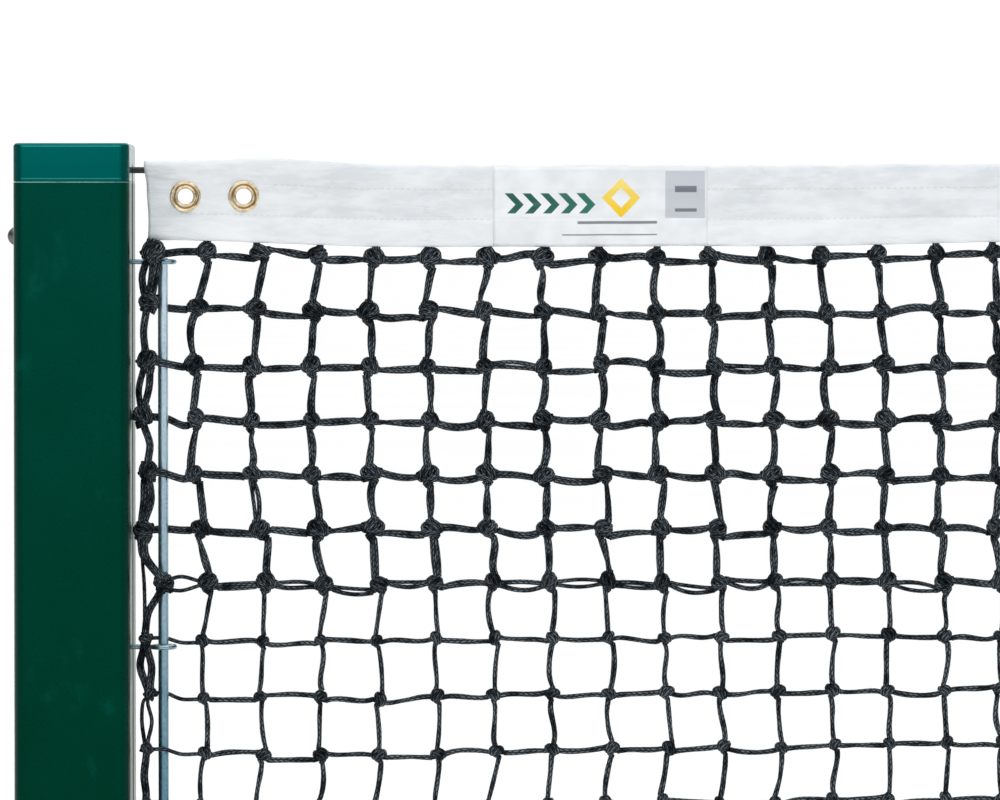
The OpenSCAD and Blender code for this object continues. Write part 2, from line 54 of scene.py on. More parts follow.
# Distance of the first full column of knots from the post, and the number of meshes up to the last one
NET_EDGE, GAPS = 56.3, 286
COLS = GAPS + 1
COL_PITCH = (2 * FACE - 2 * NET_EDGE) / GAPS
# Distance of the lacing rod from the post, and the radius of a plain strand of twine
ROD_X, TWINE = 23.8, 1.6
# How much the bottom row of knots is lifted, and the strands from the top row up into the headband:
# the height of their upper ends and half the distance between the two
BOTTOM_LIFT = 2.0
STUB_TOP, STUB_GAP = 1022.0, 1.25
# Headband: its top and bottom edges, and its distance from the post
BAND_TOP, BAND_LOW, BAND_GAP = 1070.0, 1009.0, 8.5


# ---------- materials
class Nodes:
    """A small builder for a tree of shader nodes."""

    def __init__(self, tree):
        self.nt = tree

    def put(self, socket, v):
        if isinstance(v, bpy.types.NodeSocket):
            self.nt.links.new(v, socket)
        elif isinstance(v, (tuple, list)) and socket.type == "RGBA":
            socket.default_value = (*v[:3], 1.0)
        else:
            socket.default_value = v

    def math(self, op, a, b=0.0):
        n = self.nt.nodes.new("ShaderNodeMath")
        n.operation = op
        self.put(n.inputs[0], a)
        self.put(n.inputs[1], b)
        return n.outputs[0]

    def times(self, a, b):
        return self.math("MULTIPLY", a, b)

    def plus(self, a, b):
        return self.math("ADD", a, b)

    def minus(self, a, b):
        return self.math("SUBTRACT", a, b)

    def size(self, a):
        return self.math("ABSOLUTE", a)

    def coords(self, kind="Object", scale=(1, 1, 1)):
        c = self.nt.nodes.new("ShaderNodeTexCoord")
        m = self.nt.nodes.new("ShaderNodeMapping")
        self.put(m.inputs["Vector"], c.outputs[kind])
        m.inputs["Scale"].default_value = scale
        return m.outputs[0]

    def split(self, vec):
        """The three parts of a vector."""
        n = self.nt.nodes.new("ShaderNodeSeparateXYZ")
        self.put(n.inputs[0], vec)
        return n.outputs[0], n.outputs[1], n.outputs[2]

    def uv(self, layer):
        """The two parts of the place in a texture layer."""
        n = self.nt.nodes.new("ShaderNodeUVMap")
        n.uv_map = layer
        return self.split(n.outputs[0])[:2]

    def noise(self, vec, scale, detail=3.0, rough=0.55):
        n = self.nt.nodes.new("ShaderNodeTexNoise")
        self.put(n.inputs["Vector"], vec)
        n.inputs["Scale"].default_value = scale
        n.inputs["Detail"].default_value = detail
        n.inputs["Roughness"].default_value = rough
        return n.outputs[0]

    def ramp(self, fac, lo, hi, a=0.0, b=1.0):
        n = self.nt.nodes.new("ShaderNodeMapRange")
        n.interpolation_type = "SMOOTHSTEP"
        self.put(n.inputs["Value"], fac)
        n.inputs["From Min"].default_value = lo
        n.inputs["From Max"].default_value = hi
        n.inputs["To Min"].default_value = a
        self.put(n.inputs["To Max"], b)
        return n.outputs["Result"]

    def window(self, value, lo, hi, soft):
        """1 between lo and hi, 0 outside, with soft edges."""
        below = self.ramp(value, hi - soft, hi + soft, 1.0, 0.0)
        return self.times(self.ramp(value, lo - soft, lo + soft), below)

    def mix(self, fac, a, b):
        n = self.nt.nodes.new("ShaderNodeMix")
        n.data_type = "RGBA"
        self.put(n.inputs[0], fac)
        self.put(n.inputs[6], a)
        self.put(n.inputs[7], b)
        return n.outputs[2]


class Graph(Nodes):
    """The builder for one Principled material."""

    def __init__(self, name):
        self.mat = bpy.data.materials.new(name)
        self.mat.use_nodes = True
        super().__init__(self.mat.node_tree)
        self.bsdf = self.nt.nodes["Principled BSDF"]

    def bump(self, height, strength, distance):
        n = self.nt.nodes.new("ShaderNodeBump")
        n.inputs["Strength"].default_value = strength
        n.inputs["Distance"].default_value = distance
        self.put(n.inputs["Height"], height)
        self.put(self.bsdf.inputs["Normal"], n.outputs[0])

    def surface(self, colour=None, rough=None, metal=0.0, **more):
        if colour is not None:
            self.put(self.bsdf.inputs["Base Color"], colour)
        if rough is not None:
            self.put(self.bsdf.inputs["Roughness"], rough)
        self.bsdf.inputs["Metallic"].default_value = metal
        for k, v in more.items():
            self.put(self.bsdf.inputs[k.replace("_", " ")], v)
        return self.mat


def painted_corner_shade(g, x, y):
    """How much painted shade darkens the rounded corners of the posts and caps, 0 on the flats."""
    off = g.size(g.minus(g.size(x), (FACE + POST_HALF) * MM))
    return g.ramp(g.math("MINIMUM", off, g.size(y)), 0.0365, 0.0400, 0.0, 0.58)


def cut_edge_highlight(g, o, z):
    """The thin line along the cut end of a post's tube, lightened unevenly: a painted highlight of the light
    caught there.
    """
    top = POST_TOP * MM
    line = g.times(g.ramp(z, top - 0.0009, top - 0.0006), g.ramp(z, top, top + 0.0002, 1.0, 0.0))
    return g.times(line, g.ramp(g.noise(o, 60.0, 3.0), 0.3, 0.6, 0.35, 0.85))


def paint(name, low, high, rough, tint, z0, z1, highlight_lines=()):
    """Glossy coat with a faint orange peel and smudges, from low at height z0 to high at z1, with painted
    shade on the rounded corners and painted highlight lines along edges, each given by its height in mm and
    its strength."""
    g = Graph(name)
    o = g.coords()
    x, y, z = g.split(o)
    fine = g.noise(o, 750.0, 2.0)
    g.bump(g.plus(fine, g.times(g.noise(o, 140.0, 1.0), 1.6)), 0.10, 0.0004)
    cloud = g.times(g.minus(g.noise(o, 9.0, 4.0), 0.5), 0.9)
    corner_shade = painted_corner_shade(g, x, y)
    # Painted shade on the rounded corners, mixed towards a near-black green.
    body = g.mix(corner_shade, g.mix(g.plus(g.ramp(z, z0, z1), cloud), low, high), (0.0, 0.006, 0.004))
    smudge = g.ramp(g.noise(g.coords(scale=(1, 1, 0.6)), 26.0, 5.0, 0.6), 0.60, 0.74, 0.0, 0.35)
    body = g.mix(smudge, body, (0.003, 0.085, 0.064))
    off_corner = g.minus(1.0, g.times(corner_shade, 1.7))
    # Painted highlights: lighter teal lines along the cap's rounded top edge and its lower lip, kept off the
    # corners.
    for height, light in highlight_lines:
        line = g.ramp(g.size(g.minus(z, height * MM)), 0.0003, 0.0006, light, 0.0)
        body = g.mix(g.times(line, off_corner), body, (0.06, 0.46, 0.43))
    # Painted highlight along the cut end of the tube.
    body = g.mix(cut_edge_highlight(g, o, z), body, (0.24, 0.44, 0.41))
    gloss = g.ramp(fine, 0.3, 0.7, rough - 0.03, rough + 0.04)
    return g.surface(body, gloss, Specular_Tint=tint, Specular_IOR_Level=0.65)


def metal(name, dark, light, rough):
    """Plain metal, slightly uneven in colour and gloss."""
    g = Graph(name)
    o = g.coords()
    n = g.noise(o, 60.0, 3.0)
    g.bump(g.noise(o, 540.0, 2.0), 0.08, 0.0002)
    gloss = g.ramp(n, 0.2, 0.8, rough - 0.06, rough + 0.08)
    return g.surface(g.mix(g.ramp(n, 0.3, 0.7), dark, light), gloss, 1.0)


def galvanised():
    """Zinc with a fine spangle, with painted shade: darker towards the ground and lighter at the top."""
    g = Graph("galvanised_steel")
    o = g.coords()
    spangle = g.nt.nodes.new("ShaderNodeTexVoronoi")
    g.put(spangle.inputs["Vector"], o)
    spangle.inputs["Scale"].default_value = 520.0
    cell = g.nt.nodes.new("ShaderNodeSeparateColor")
    g.put(cell.inputs[0], spangle.outputs["Color"])
    streak = g.noise(g.coords(scale=(30, 30, 3.0)), 6.0, 3.0)
    fac = g.plus(g.times(cell.outputs[0], 0.18), g.times(streak, 0.82))
    g.bump(g.noise(o, 1500.0, 2.0), 0.10, 0.0002)
    shade = g.ramp(fac, 0.3, 0.7)
    high = g.mix(shade, (0.58, 0.76, 0.90), (0.78, 0.95, 1.0))
    low = g.mix(shade, (0.095, 0.215, 0.285), (0.185, 0.34, 0.43))
    # Painted shade: the dark colours low on the rods, the light ones at their tops.
    colour = g.mix(g.ramp(g.split(o)[2], 0.55, 1.02), low, high)
    return g.surface(colour, g.ramp(fac, 0.2, 0.8, 0.26, 0.40), 0.9)


def hook_steel():
    """Steel for the hooks, darker than the rods' zinc: painted shade for the dark surroundings the hooks
    reflect.
    """
    g = Graph("hook_steel")
    o = g.coords()
    n = g.noise(o, 240.0, 3.0)
    g.bump(g.noise(o, 1900.0, 2.0), 0.08, 0.0002)
    colour = g.mix(g.ramp(n, 0.3, 0.7), (0.17, 0.27, 0.32), (0.30, 0.42, 0.48))
    return g.surface(colour, g.ramp(n, 0.2, 0.8, 0.20, 0.30), 0.9)


def brass():
    """Pressed brass, tarnished in the groove between the flange and the barrel and inside the barrel."""
    g = Graph("eyelet_brass")
    o = g.coords()
    radius = g.uv("turned")[0]
    n = g.noise(o, 190.0, 3.0)
    g.bump(g.noise(o, 1700.0, 2.0), 0.08, 0.0002)
    groove = g.times(g.ramp(radius, 0.0083, 0.0090), g.ramp(radius, 0.0094, 0.0101, 1.0, 0.0))
    inside = g.ramp(radius, 0.0062, 0.0067, 0.8, 0.0)
    clean = g.mix(g.ramp(n, 0.3, 0.7), (0.58, 0.44, 0.25), (0.95, 0.82, 0.59))
    tarnish = g.times(g.math("MAXIMUM", groove, inside), 0.9)
    return g.surface(g.mix(tarnish, clean, (0.25, 0.16, 0.075)), g.ramp(n, 0.2, 0.8, 0.24, 0.38), 1.0)


def plastic(name, dark, light, rough, scale):
    """Moulded plastic or rubber with a fine grain."""
    g = Graph(name)
    fine = g.noise(g.coords(), scale, 3.0)
    g.bump(fine, 0.10, 0.0002)
    shade = g.ramp(fine, 0.3, 0.7)
    return g.surface(g.mix(shade, dark, light), g.ramp(fine, 0.3, 0.7, rough - 0.04, rough + 0.05))


def twine():
    """Plaited twine, with painted highlights on the plaits' ridges and painted shade in their valleys: u runs
    along it in metres, v goes once round it.
    """
    g = Graph("net_twine")
    u, v = g.uv("braid")
    plait_long, columns = 0.0046, 6.0
    column = g.times(v, columns)
    odd = g.math("MODULO", g.math("FLOOR", column), 2.0)
    across = g.minus(g.math("FRACT", column), 0.5)
    lean = g.times(across, g.minus(g.times(odd, 1.3), 0.65))
    wander = g.times(g.noise(g.coords("UV", (160.0, 2.0, 1.0)), 1.0, 1.0), 0.9)
    step = g.plus(g.plus(g.times(u, 1 / plait_long), lean), g.plus(g.times(odd, 0.5), wander))
    plait = g.math("POWER", g.size(g.math("SINE", g.times(step, math.pi))), 0.6)
    rib = g.minus(1.0, g.math("POWER", g.size(g.times(across, 2.0)), 2.2))
    height = g.times(plait, rib)
    yarn = g.noise(g.coords("UV", (420.0, 60.0, 1.0)), 1.0, 2.0)
    g.bump(g.plus(height, g.times(yarn, 0.35)), 1.0, 0.0009)
    patches = g.ramp(g.noise(g.coords(), 85.0, 3.0), 0.33, 0.62, 0.14, 1.0)
    worn = g.times(g.ramp(yarn, 0.25, 0.65, 0.45, 1.0), patches)
    # Painted highlight and shade: lighter ridges and near-black valleys, spread unevenly by the yarn and
    # patch noise.
    light = g.times(g.ramp(height, 0.28, 1.0, 0.07, 1.0), worn)
    colour = g.mix(light, (0.0010, 0.0016, 0.0026), (0.215, 0.258, 0.292))
    gloss = g.ramp(height, 0.2, 1.0, 0.70, 0.42)
    return g.surface(colour, gloss, Specular_IOR_Level=0.08, Specular_Tint=(0.55, 0.80, 1.0))


def stains_and_crease_shade(g):
    """Soft stains and streaks along the band, partly painted shade of its creases, and thin darker lines of
    painted shade along its folds, from 0 to about 1.4.
    """
    soil = g.noise(g.coords(scale=(7, 7, 16)), 1.6, 4.0, 0.6)
    streak = g.noise(g.coords(scale=(30, 30, 95)), 1.0, 4.0, 0.6)
    ridge = g.size(g.minus(g.noise(g.coords(scale=(16, 16, 60)), 1.0, 3.0), 0.5))
    # Painted shade along thin folds, where the noise crosses its middle.
    fold = g.times(g.ramp(ridge, 0.0, 0.035, 1.0, 0.0), g.ramp(soil, 0.45, 0.62))
    stain = g.plus(g.times(g.ramp(soil, 0.36, 0.64), 0.5), g.times(g.ramp(streak, 0.38, 0.62), 0.5))
    return g.plus(stain, g.times(fold, 0.45))


def fabric():
    """White coated fabric: a fine plain weave under the coating, soft stains with painted shade of its
    creases and folds, and a whiter hem.
    """
    g = Graph("coated_fabric")
    x, _, z = g.split(g.coords())
    thread_x, thread_z = 0.0016, 0.0013
    waves = [g.math("SINE", g.times(v, 2 * math.pi / size)) for v, size in ((x, thread_x), (z, thread_z))]
    weave = g.times(*waves)
    crease = g.noise(g.coords(scale=(14, 14, 70)), 2.4, 4.0)
    g.bump(g.plus(g.times(weave, 0.10), g.times(crease, 2.6)), 0.75, 0.0012)
    stain_and_shade = stains_and_crease_shade(g)
    # Stains mixed with painted shade of creases and folds darken the white.
    body = g.mix(stain_and_shade, (0.875, 0.905, 0.935), (0.735, 0.77, 0.80))
    hem = g.mix(stain_and_shade, (0.915, 0.945, 0.97), (0.81, 0.845, 0.875))
    colour = g.mix(g.ramp(z, 1.0265, 1.0285, 1.0, 0.0), body, hem)
    return g.surface(colour, g.ramp(weave, -1.0, 1.0, 0.42, 0.50), Specular_IOR_Level=0.15)


def label():
    """White vinyl with a row of plain green chevrons, an amber diamond, a grey end block and plain rules."""
    g = Graph("label_vinyl")
    x, z = g.uv("patch")

    def band(value, lo, hi):
        return g.window(value, lo, hi, 0.0003)

    def box(x0, x1, z0, z1):
        return g.times(band(z, z0, z1), band(x, x0, x1))

    slant = g.plus(x, g.size(g.minus(z, 0.031)))
    bars = g.times(band(g.math("MODULO", slant, 0.014), 0.0035, 0.0100), band(slant, 0.014, 0.084))
    chevrons = g.times(bars, band(z, 0.0245, 0.0395))
    diamond = band(g.plus(g.size(g.minus(x, 0.100)), g.size(g.minus(z, 0.036))), 0.0075, 0.0150)
    rules = g.plus(box(0.054, 0.128, 0.0080, 0.0090), box(0.066, 0.128, 0.0165, 0.0185))
    plain_bars = g.plus(box(0.142, 0.159, 0.0255, 0.0280), box(0.142, 0.159, 0.0400, 0.0450))
    soft = g.noise(g.coords(), 40.0, 3.0)
    green = g.mix(g.ramp(x, 0.02, 0.12), (0.006, 0.105, 0.068), (0.03, 0.21, 0.155))
    amber = g.mix(g.ramp(z, 0.024, 0.048), (0.90, 0.60, 0.012), (0.93, 0.72, 0.16))
    base = g.mix(g.ramp(soft, 0.3, 0.7), (0.87, 0.895, 0.92), (0.76, 0.79, 0.815))
    base = g.mix(box(0.1345, 0.1655, 0.0205, 0.056), base, (0.55, 0.585, 0.63))
    base = g.mix(chevrons, base, green)
    base = g.mix(diamond, base, amber)
    base = g.mix(g.times(g.plus(rules, plain_bars), 0.80), base, (0.07, 0.09, 0.12))
    g.bump(soft, 0.15, 0.0006)
    return g.surface(base, 0.30)


def thread(name, dark, light):
    """Sewing thread with a fine twist."""
    g = Graph(name)
    n = g.noise(g.coords(), 1800.0, 2.0)
    g.bump(n, 0.3, 0.0002)
    return g.surface(g.mix(g.ramp(n, 0.3, 0.7), dark, light), 0.6)


MATS = {
    "post_paint": paint("post_paint", (0.0001, 0.0118, 0.0036), (0.0001, 0.0345, 0.0240), 0.30,
                        (0.0, 0.55, 0.34), 0.55, 1.06),
    # The cap's paint, with two painted highlight lines at 1082.4 mm and 1057.4 mm.
    "cap_plastic": paint("cap_paint", (0.0001, 0.073, 0.066), (0.0001, 0.092, 0.083), 0.18,
                         (0.0, 0.80, 0.72), 1.05, 1.085, ((1082.4, 0.42), (1057.4, 0.32))),
    "galvanised_steel": galvanised(),
    "dark_steel": metal("dark_steel", (0.10, 0.11, 0.12), (0.20, 0.21, 0.22), 0.42),
    "coated_fabric": fabric(),
    "label_vinyl": label(),
    "cable_coating": plastic("cable_coating", (0.006, 0.007, 0.008), (0.016, 0.017, 0.019), 0.34, 400.0),
    "eyelet_brass": brass(),
    "net_twine": twine(),
    "bush_bronze": metal("bush_bronze", (0.50, 0.30, 0.12), (0.66, 0.44, 0.22), 0.32),
    "grip_rubber": plastic("grip_rubber", (0.010, 0.010, 0.011), (0.022, 0.022, 0.024), 0.62, 260.0),
}
# The hooks get a darker copy of the steel, which is painted shade.
SHADED_HOOK_STEEL = hook_steel()
slot_of = {s["node"]: s["material_slot"] for s in frame["record"]["subparts"]}
for name, ob in cad.items():
    ob.data.materials.clear()
    ob.data.materials.append(SHADED_HOOK_STEEL if "_hook_" in name else MATS[slot_of[name]])


# ---------- mesh helpers
class Store:
    """Collects quads with their texture places, in mm, and makes one object of them."""

    def __init__(self, uv_name):
        self.v, self.f, self.uv = [], [], []
        self.n, self.uv_name = 0, uv_name

    def put(self, v, f, uv):
        self.v.append(v.reshape(-1, 3))
        self.f.append(f + self.n)
        self.uv.append(uv.reshape(-1, 2))
        self.n += len(self.v[-1])

    def copies(self, t, places):
        """Adds template t, a group of points, quads and places, at each of the (M, 3, 4) matrices."""
        v, f, uv = t
        m = len(places)
        w = np.einsum("mij,nj->mni", places[:, :, :3], v) + places[:, None, :, 3]
        ff = (f[None] + (np.arange(m) * len(v))[:, None, None]).reshape(-1, 4)
        self.put(w, ff, np.tile(uv, (m, 1)))

    def finish(self, name, material, node):
        """Makes the object, which rides the fixed body and replaces the given node."""
        v = np.concatenate(self.v) * MM
        f = np.concatenate(self.f).astype(np.int32)
        uv = np.concatenate(self.uv)
        me = bpy.data.meshes.new(name)
        me.vertices.add(len(v))
        me.vertices.foreach_set("co", v.astype(np.float32).ravel())
        me.loops.add(f.size)
        me.loops.foreach_set("vertex_index", f.ravel())
        me.polygons.add(len(f))
        me.polygons.foreach_set("loop_start", np.arange(0, f.size, 4, dtype=np.int32))
        layer = me.uv_layers.new(name=self.uv_name)
        layer.uv.foreach_set("vector", uv.astype(np.float32).ravel())
        me.update(calc_edges=True)
        me.polygons.foreach_set("use_smooth", np.ones(len(f), bool))
        me.materials.append(material)
        ob = bpy.data.objects.new(name, me)
        bpy.context.scene.collection.objects.link(ob)
        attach(ob, ROOT)
        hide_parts(node)
        return ob


def unit(a):
    return a / np.maximum(np.linalg.norm(a, axis=-1, keepdims=True), 1e-12)


def bell(x, at, wide):
    """1 at the given place, fading to 0 on both sides."""
    return np.exp(-(((x - at) / wide) ** 2))


def smooth(x, lo, hi):
    """From 0 at lo to 1 at hi, level at both ends."""
    t = np.clip((x - lo) / (hi - lo), 0, 1)
    return t * t * (3 - 2 * t)


def jitter(g, shape, size):
    """Seeded small differences, none of them over twice the usual size."""
    return g.normal(0, size, shape).clip(-2 * size, 2 * size)


def carried(p, start):
    """Normal and binormal along paths p (M, N, 3), the normal carried on from start (3,) or (M, 3)."""
    t = unit(np.gradient(p, axis=1))
    n = np.empty_like(p)
    cur = np.broadcast_to(np.asarray(start, float), p[:, 0].shape)
    for i in range(p.shape[1]):
        cur = unit(cur - (cur * t[:, i]).sum(-1, keepdims=True) * t[:, i])
        n[:, i] = cur
    return n, np.cross(t, n)


def tube_quads(m, k, sides):
    """Quads of m tubes, each with k rings of points."""
    i = (np.arange(m)[:, None, None] * k + np.arange(k - 1)[None, :, None]) * sides
    j = np.arange(sides)[None, None, :]
    j2 = (j + 1) % sides
    return np.stack([i + j, i + sides + j, i + sides + j2, i + j2], -1).reshape(-1, 4)


def tube_places(p, sides, u0):
    """Texture places of those quads: metres along each tube from u0, and turns round it."""
    steps = np.linalg.norm(np.diff(p, axis=1), axis=-1)
    s = np.pad(np.cumsum(steps, 1), ((0, 0), (1, 0))) * MM + np.reshape(u0, (-1, 1))
    j = np.arange(sides)[None, None, :]
    lo, hi = s[:, :-1, None] + 0.0 * j, s[:, 1:, None] + 0.0 * j
    v0, v1 = j / sides + 0 * lo, (j + 1) / sides + 0 * lo
    corners = (lo, v0), (hi, v0), (hi, v1), (lo, v1)
    return np.stack([np.stack(c, -1) for c in corners], -2).reshape(-1, 2)


def tubes(p, r, sides, start=(0.0, 1.0, 0.0), u0=0.0, flat=1.0, roll=0.0):
    """Round or flattened tubes of radius r along paths p (M, N, 3): points, quads and texture places."""
    m, k = p.shape[:2]
    n, b = carried(p, start)
    roll = np.broadcast_to(np.asarray(roll, float), (m, k))[:, :, None]
    n, b = np.cos(roll) * n + np.sin(roll) * b, np.cos(roll) * b - np.sin(roll) * n
    a = np.arange(sides) / sides * 2 * np.pi
    wide = np.cos(a)[None, None, :, None] * n[:, :, None] * flat
    tall = np.sin(a)[None, None, :, None] * b[:, :, None]
    r = np.broadcast_to(np.asarray(r, float), (m, k))[:, :, None, None]
    v = p[:, :, None] + r * (wide + tall)
    return v.reshape(-1, 3), tube_quads(m, k, sides), tube_places(p, sides, u0)


def spline(ctrl, count):
    """Catmull-Rom curve through the control points, as the given number of points."""
    c = np.asarray(ctrl, float)
    c = np.vstack([2 * c[0] - c[1], c, 2 * c[-1] - c[-2]])
    segs = len(c) - 3
    t = np.linspace(0, segs, count)
    i = np.minimum(t.astype(int), segs - 1)
    w = (t - i)[:, None]
    p0, p1, p2, p3 = c[i], c[i + 1], c[i + 2], c[i + 3]
    return 0.5 * (2 * p1 + (p2 - p0) * w + (2 * p0 - 5 * p1 + 4 * p2 - p3) * w**2
                  + (3 * p1 - p0 - 3 * p2 + p3) * w**3)


def merged(parts):
    """One group of points, quads and places out of several."""
    v, f, uv, n = [], [], [], 0
    for a, b, c in parts:
        v.append(a)
        f.append(b + n)
        uv.append(c)
        n += len(a)
    return np.concatenate(v), np.concatenate(f), np.concatenate(uv)


def mirrored(t):
    """The same group mirrored left to right."""
    v, f, uv = t
    return v * [-1, 1, 1], f[:, ::-1].copy(), uv.reshape(-1, 4, 2)[:, ::-1].reshape(-1, 2)


# ---------- knots
# The two cords of a knot seen from the front, in mm at full size: -y is towards the viewer
TOP_TO_RIGHT = [(0.2, 0.6, 9.6), (-0.9, -1.6, 7.2), (-3.9, -4.4, 4.7), (-6.2, -4.2, 0.4), (-5.4, -0.4, -3.9),
                (-1.4, 3.0, -4.2), (4.0, 2.2, -3.6), (9.4, 0.2, -3.4)]
LEFT_TO_DOWN = [(-9.4, 0.4, -0.4), (-5.2, 3.2, 1.0), (0.2, 4.2, 3.6), (4.9, 1.4, 5.0), (7.4, -2.8, 2.0),
                (4.9, -5.0, -1.8), (0.2, -4.6, -3.4), (-2.2, -1.6, -5.6), (-0.2, 0.8, -7.4), (2.6, 0.4, -9.6)]


# Where cords leave a knot, at full size
EXITS = {"up": (0.2, 0.5, 8.8), "down": (2.4, 0.4, -8.8), "left": (-8.6, 0.4, -0.5),
         "right": (8.6, 0.3, -3.4)}
# The knot's own axis, round which its wraps lie, and the direction across it
ACROSS, AXIS = np.array([0.62, 0, 0.78]), np.array([0.78, 0, -0.62])
# Kinds of knot: scale, radius of a strand, whether each cord has two strands
KINDS = {"double": (0.86, 1.68, True), "change": (0.80, 1.65, True), "single": (0.60, 1.95, False)}
# Levels of detail: points along a cord, sides of a tube, and wraps as (place along the axis, radius)
DETAIL = {"high": (22, 7, ((-3.4, 4.3), (0.3, 4.9), (3.4, 3.9))), "low": (9, 4, ())}


def knot_cords(scale, r, pair, count, sides):
    """The knot's two cords, each of one or two strands."""
    for ctrl, start in ((TOP_TO_RIGHT, (1.0, 0, 0)), (LEFT_TO_DOWN, (0, 0, 1.0))):
        c = spline(np.array(ctrl) * scale, count)[None]
        n = carried(c, start)[0]
        for s in (-1, 1) if pair else (0,):
            yield tubes(c + n * s * r * 0.95, r, sides, u0=0.013 * s, flat=0.86, roll=0.4 * s)


def knot_wraps(scale, r, wraps, count, sides):
    """Turns of cord round the knot's middle."""
    a = np.linspace(0, 2 * np.pi, count)[:, None]
    for off, wide in wraps:
        ring = np.cos(a) * ACROSS * wide + np.sin(a) * np.array([0, 0.92 * wide, 0])
        yield tubes(((ring + AXIS * off) * scale)[None], r, sides, start=tuple(AXIS))


def knot_core(scale):
    """A plain filling that closes the gaps between the cords."""
    t = np.linspace(-1, 1, 5)
    return tubes((AXIS * 5.0 * t[:, None])[None] * scale, 4.1 * scale * np.sqrt(1.02 - t**2)[None], 6)


def all_knots():
    """Every kind of knot at each level of detail, with its mirror image."""
    out = {}
    for kind, (scale, r, pair) in KINDS.items():
        for level, (count, sides, wraps) in DETAIL.items():
            wraps = knot_wraps(scale, r, wraps if pair else wraps[1:2], count, sides)
            knot = merged([*knot_cords(scale, r, pair, count, sides), *wraps, knot_core(scale)])
            out[kind, level] = (knot, mirrored(knot))
    return out


KNOTS = all_knots()


def sag(x):
    """How far the headband's lower edge hangs below its height at the posts."""
    s = FACE - np.abs(x)
    return -3.5 * smooth(s, 30, 230) * (1 - 0.55 * smooth(s, 500, 680)) + 0.7 * np.sin(s / 310.0)


# How far each row of knots next to the posts is pulled along the net, from the top row down
PULL = [1.0, -5.5, -7.5, -9.0, -9.0, -2.2, 3.2, -1.5, -1.2, -0.4]
# How much wider than average each row's first meshes are
WIDER = [-0.1, 0.3, 0.45, 0.75, 0.9, 0.5, 0.8, 1.5, 1.4, 1.5]


def drift(g, c, k):
    """Slow waves in the knots' places, along the net and upwards."""
    along, up = np.zeros(c.shape), np.zeros(c.shape)
    for period, size in ((37, 2.6), (17, 1.7), (7.3, 1.0)):
        a, b, d, e = g.uniform(0, 6.28, 4)
        along += size * np.sin(2 * np.pi * c / period + a + 1.9 * np.sin(k * 0.83 + b))
        up += 0.55 * size * np.sin(2 * np.pi * c / period + d + 1.4 * np.sin(k * 0.61 + e))
    return along, up


def held(c, near, free):
    """How far the posts pull each knot along the net."""
    pull = np.array(PULL + [0.5 * v for v in PULL[3::-1]] + [0.0] * ROWS)[:ROWS][None]
    wider = np.array(WIDER + [1.0, 0.8, 0.6, 0.4] + [0.2] * ROWS)[:ROWS][None]
    side = np.where(c < COLS / 2, 1, -1)
    return side * (pull * np.exp(-near / 6.0) + wider * 9.0 * np.tanh(near / 9.0) * (1 - free * 0.6))


def hang(k, near):
    """How much lower or higher the rows hang near the posts."""
    low = -1.7 * np.clip(k - 6.2, 0, 3) * bell(near, 2.8, 4.0) + 2.0 * smooth(k, 4, 6) * smooth(near, 2, 6)
    return low * np.where(k < 11, 1, 0.4)


def knot_places():
    """The places of all knots, as (columns, rows, 3)."""
    g = np.random.default_rng(41)
    c, k = np.meshgrid(np.arange(COLS), np.arange(ROWS), indexing="ij")
    x = -FACE + NET_EDGE + c * COL_PITCH
    near = np.minimum(c, COLS - 1 - c)
    along, up = drift(g, c, k)
    free = smooth(near, 6.0, 16.0)
    out = np.zeros((COLS, ROWS, 3))
    out[:, :, 0] = x + held(c, near, free) + along * free + jitter(g, c.shape, 0.8)
    out[:, :, 1] = jitter(g, c.shape, 0.5)
    below_band = 1.4 * sag(x) * np.exp(-k / 2.2)
    out[:, :, 2] = ROW_TOP - k * ROW_PITCH + below_band + hang(k, near) + up * free * smooth(k, 0, 3)
    # The top row keeps close to the band, and the bottom row is a little higher
    out[:, :, 2] += jitter(g, c.shape, 0.8) * np.where(k == 0, 0.5, 1) + np.where(k == 0, 1.5, 0)
    out[:, ROWS - 1, 2] += BOTTOM_LIFT
    return out


POS = knot_places()
KIND = np.array(["double"] * DOUBLE + ["change"] + ["single"] * (ROWS - DOUBLE - 1))
SCALE = np.array([KINDS[k][0] for k in KIND])
FLIP = (np.add.outer(np.arange(COLS), np.arange(ROWS)) % 2).astype(bool)
rng = np.random.default_rng(43)
TILT, LEAN = (np.radians(jitter(rng, (COLS, ROWS), degrees)) for degrees in (13, 14))


def placed(c, r):
    """Matrices (M, 3, 4) that tilt knots about Y, lean them about Z and move them to their places."""
    a, b = TILT[c, r], LEAN[c, r]
    wide, tall = 1 + 0.13 * np.sin(c * 12.9 + r * 7.7), 1 + 0.12 * np.sin(c * 5.3 + r * 17.1)
    m = np.zeros((len(c), 3, 4))
    ca, sa, cb, sb = np.cos(a), np.sin(a), np.cos(b), np.sin(b)
    m[:, 0, 0], m[:, 0, 1], m[:, 0, 2] = ca * cb, -ca * sb, sa
    m[:, 1, 0], m[:, 1, 1] = sb, cb
    m[:, 2, 0], m[:, 2, 1], m[:, 2, 2] = -sa * cb, sa * sb, ca
    m[:, 0, :3] *= wide[:, None]
    m[:, 2, :3] *= tall[:, None]
    m[:, :, 3] = POS[c, r]
    return m


def exit_at(c, r, way):
    """Where a leg leaves knot (c, r)."""
    swap = {"left": "right", "right": "left"}
    out = np.empty((len(c), 3))
    for flip in (False, True):
        k = FLIP[c, r] == flip
        e = np.array(EXITS[swap.get(way, way) if flip else way]) * ([-1, 1, 1] if flip else [1, 1, 1])
        if way == "down" and flip:
            e = e * [0.3, 1, 1]
        out[k] = e[None] * SCALE[r[k]][:, None] * 0.93
    m = placed(c, r)
    return np.einsum("mij,mj->mi", m[:, :, :3], out) + m[:, :, 3]


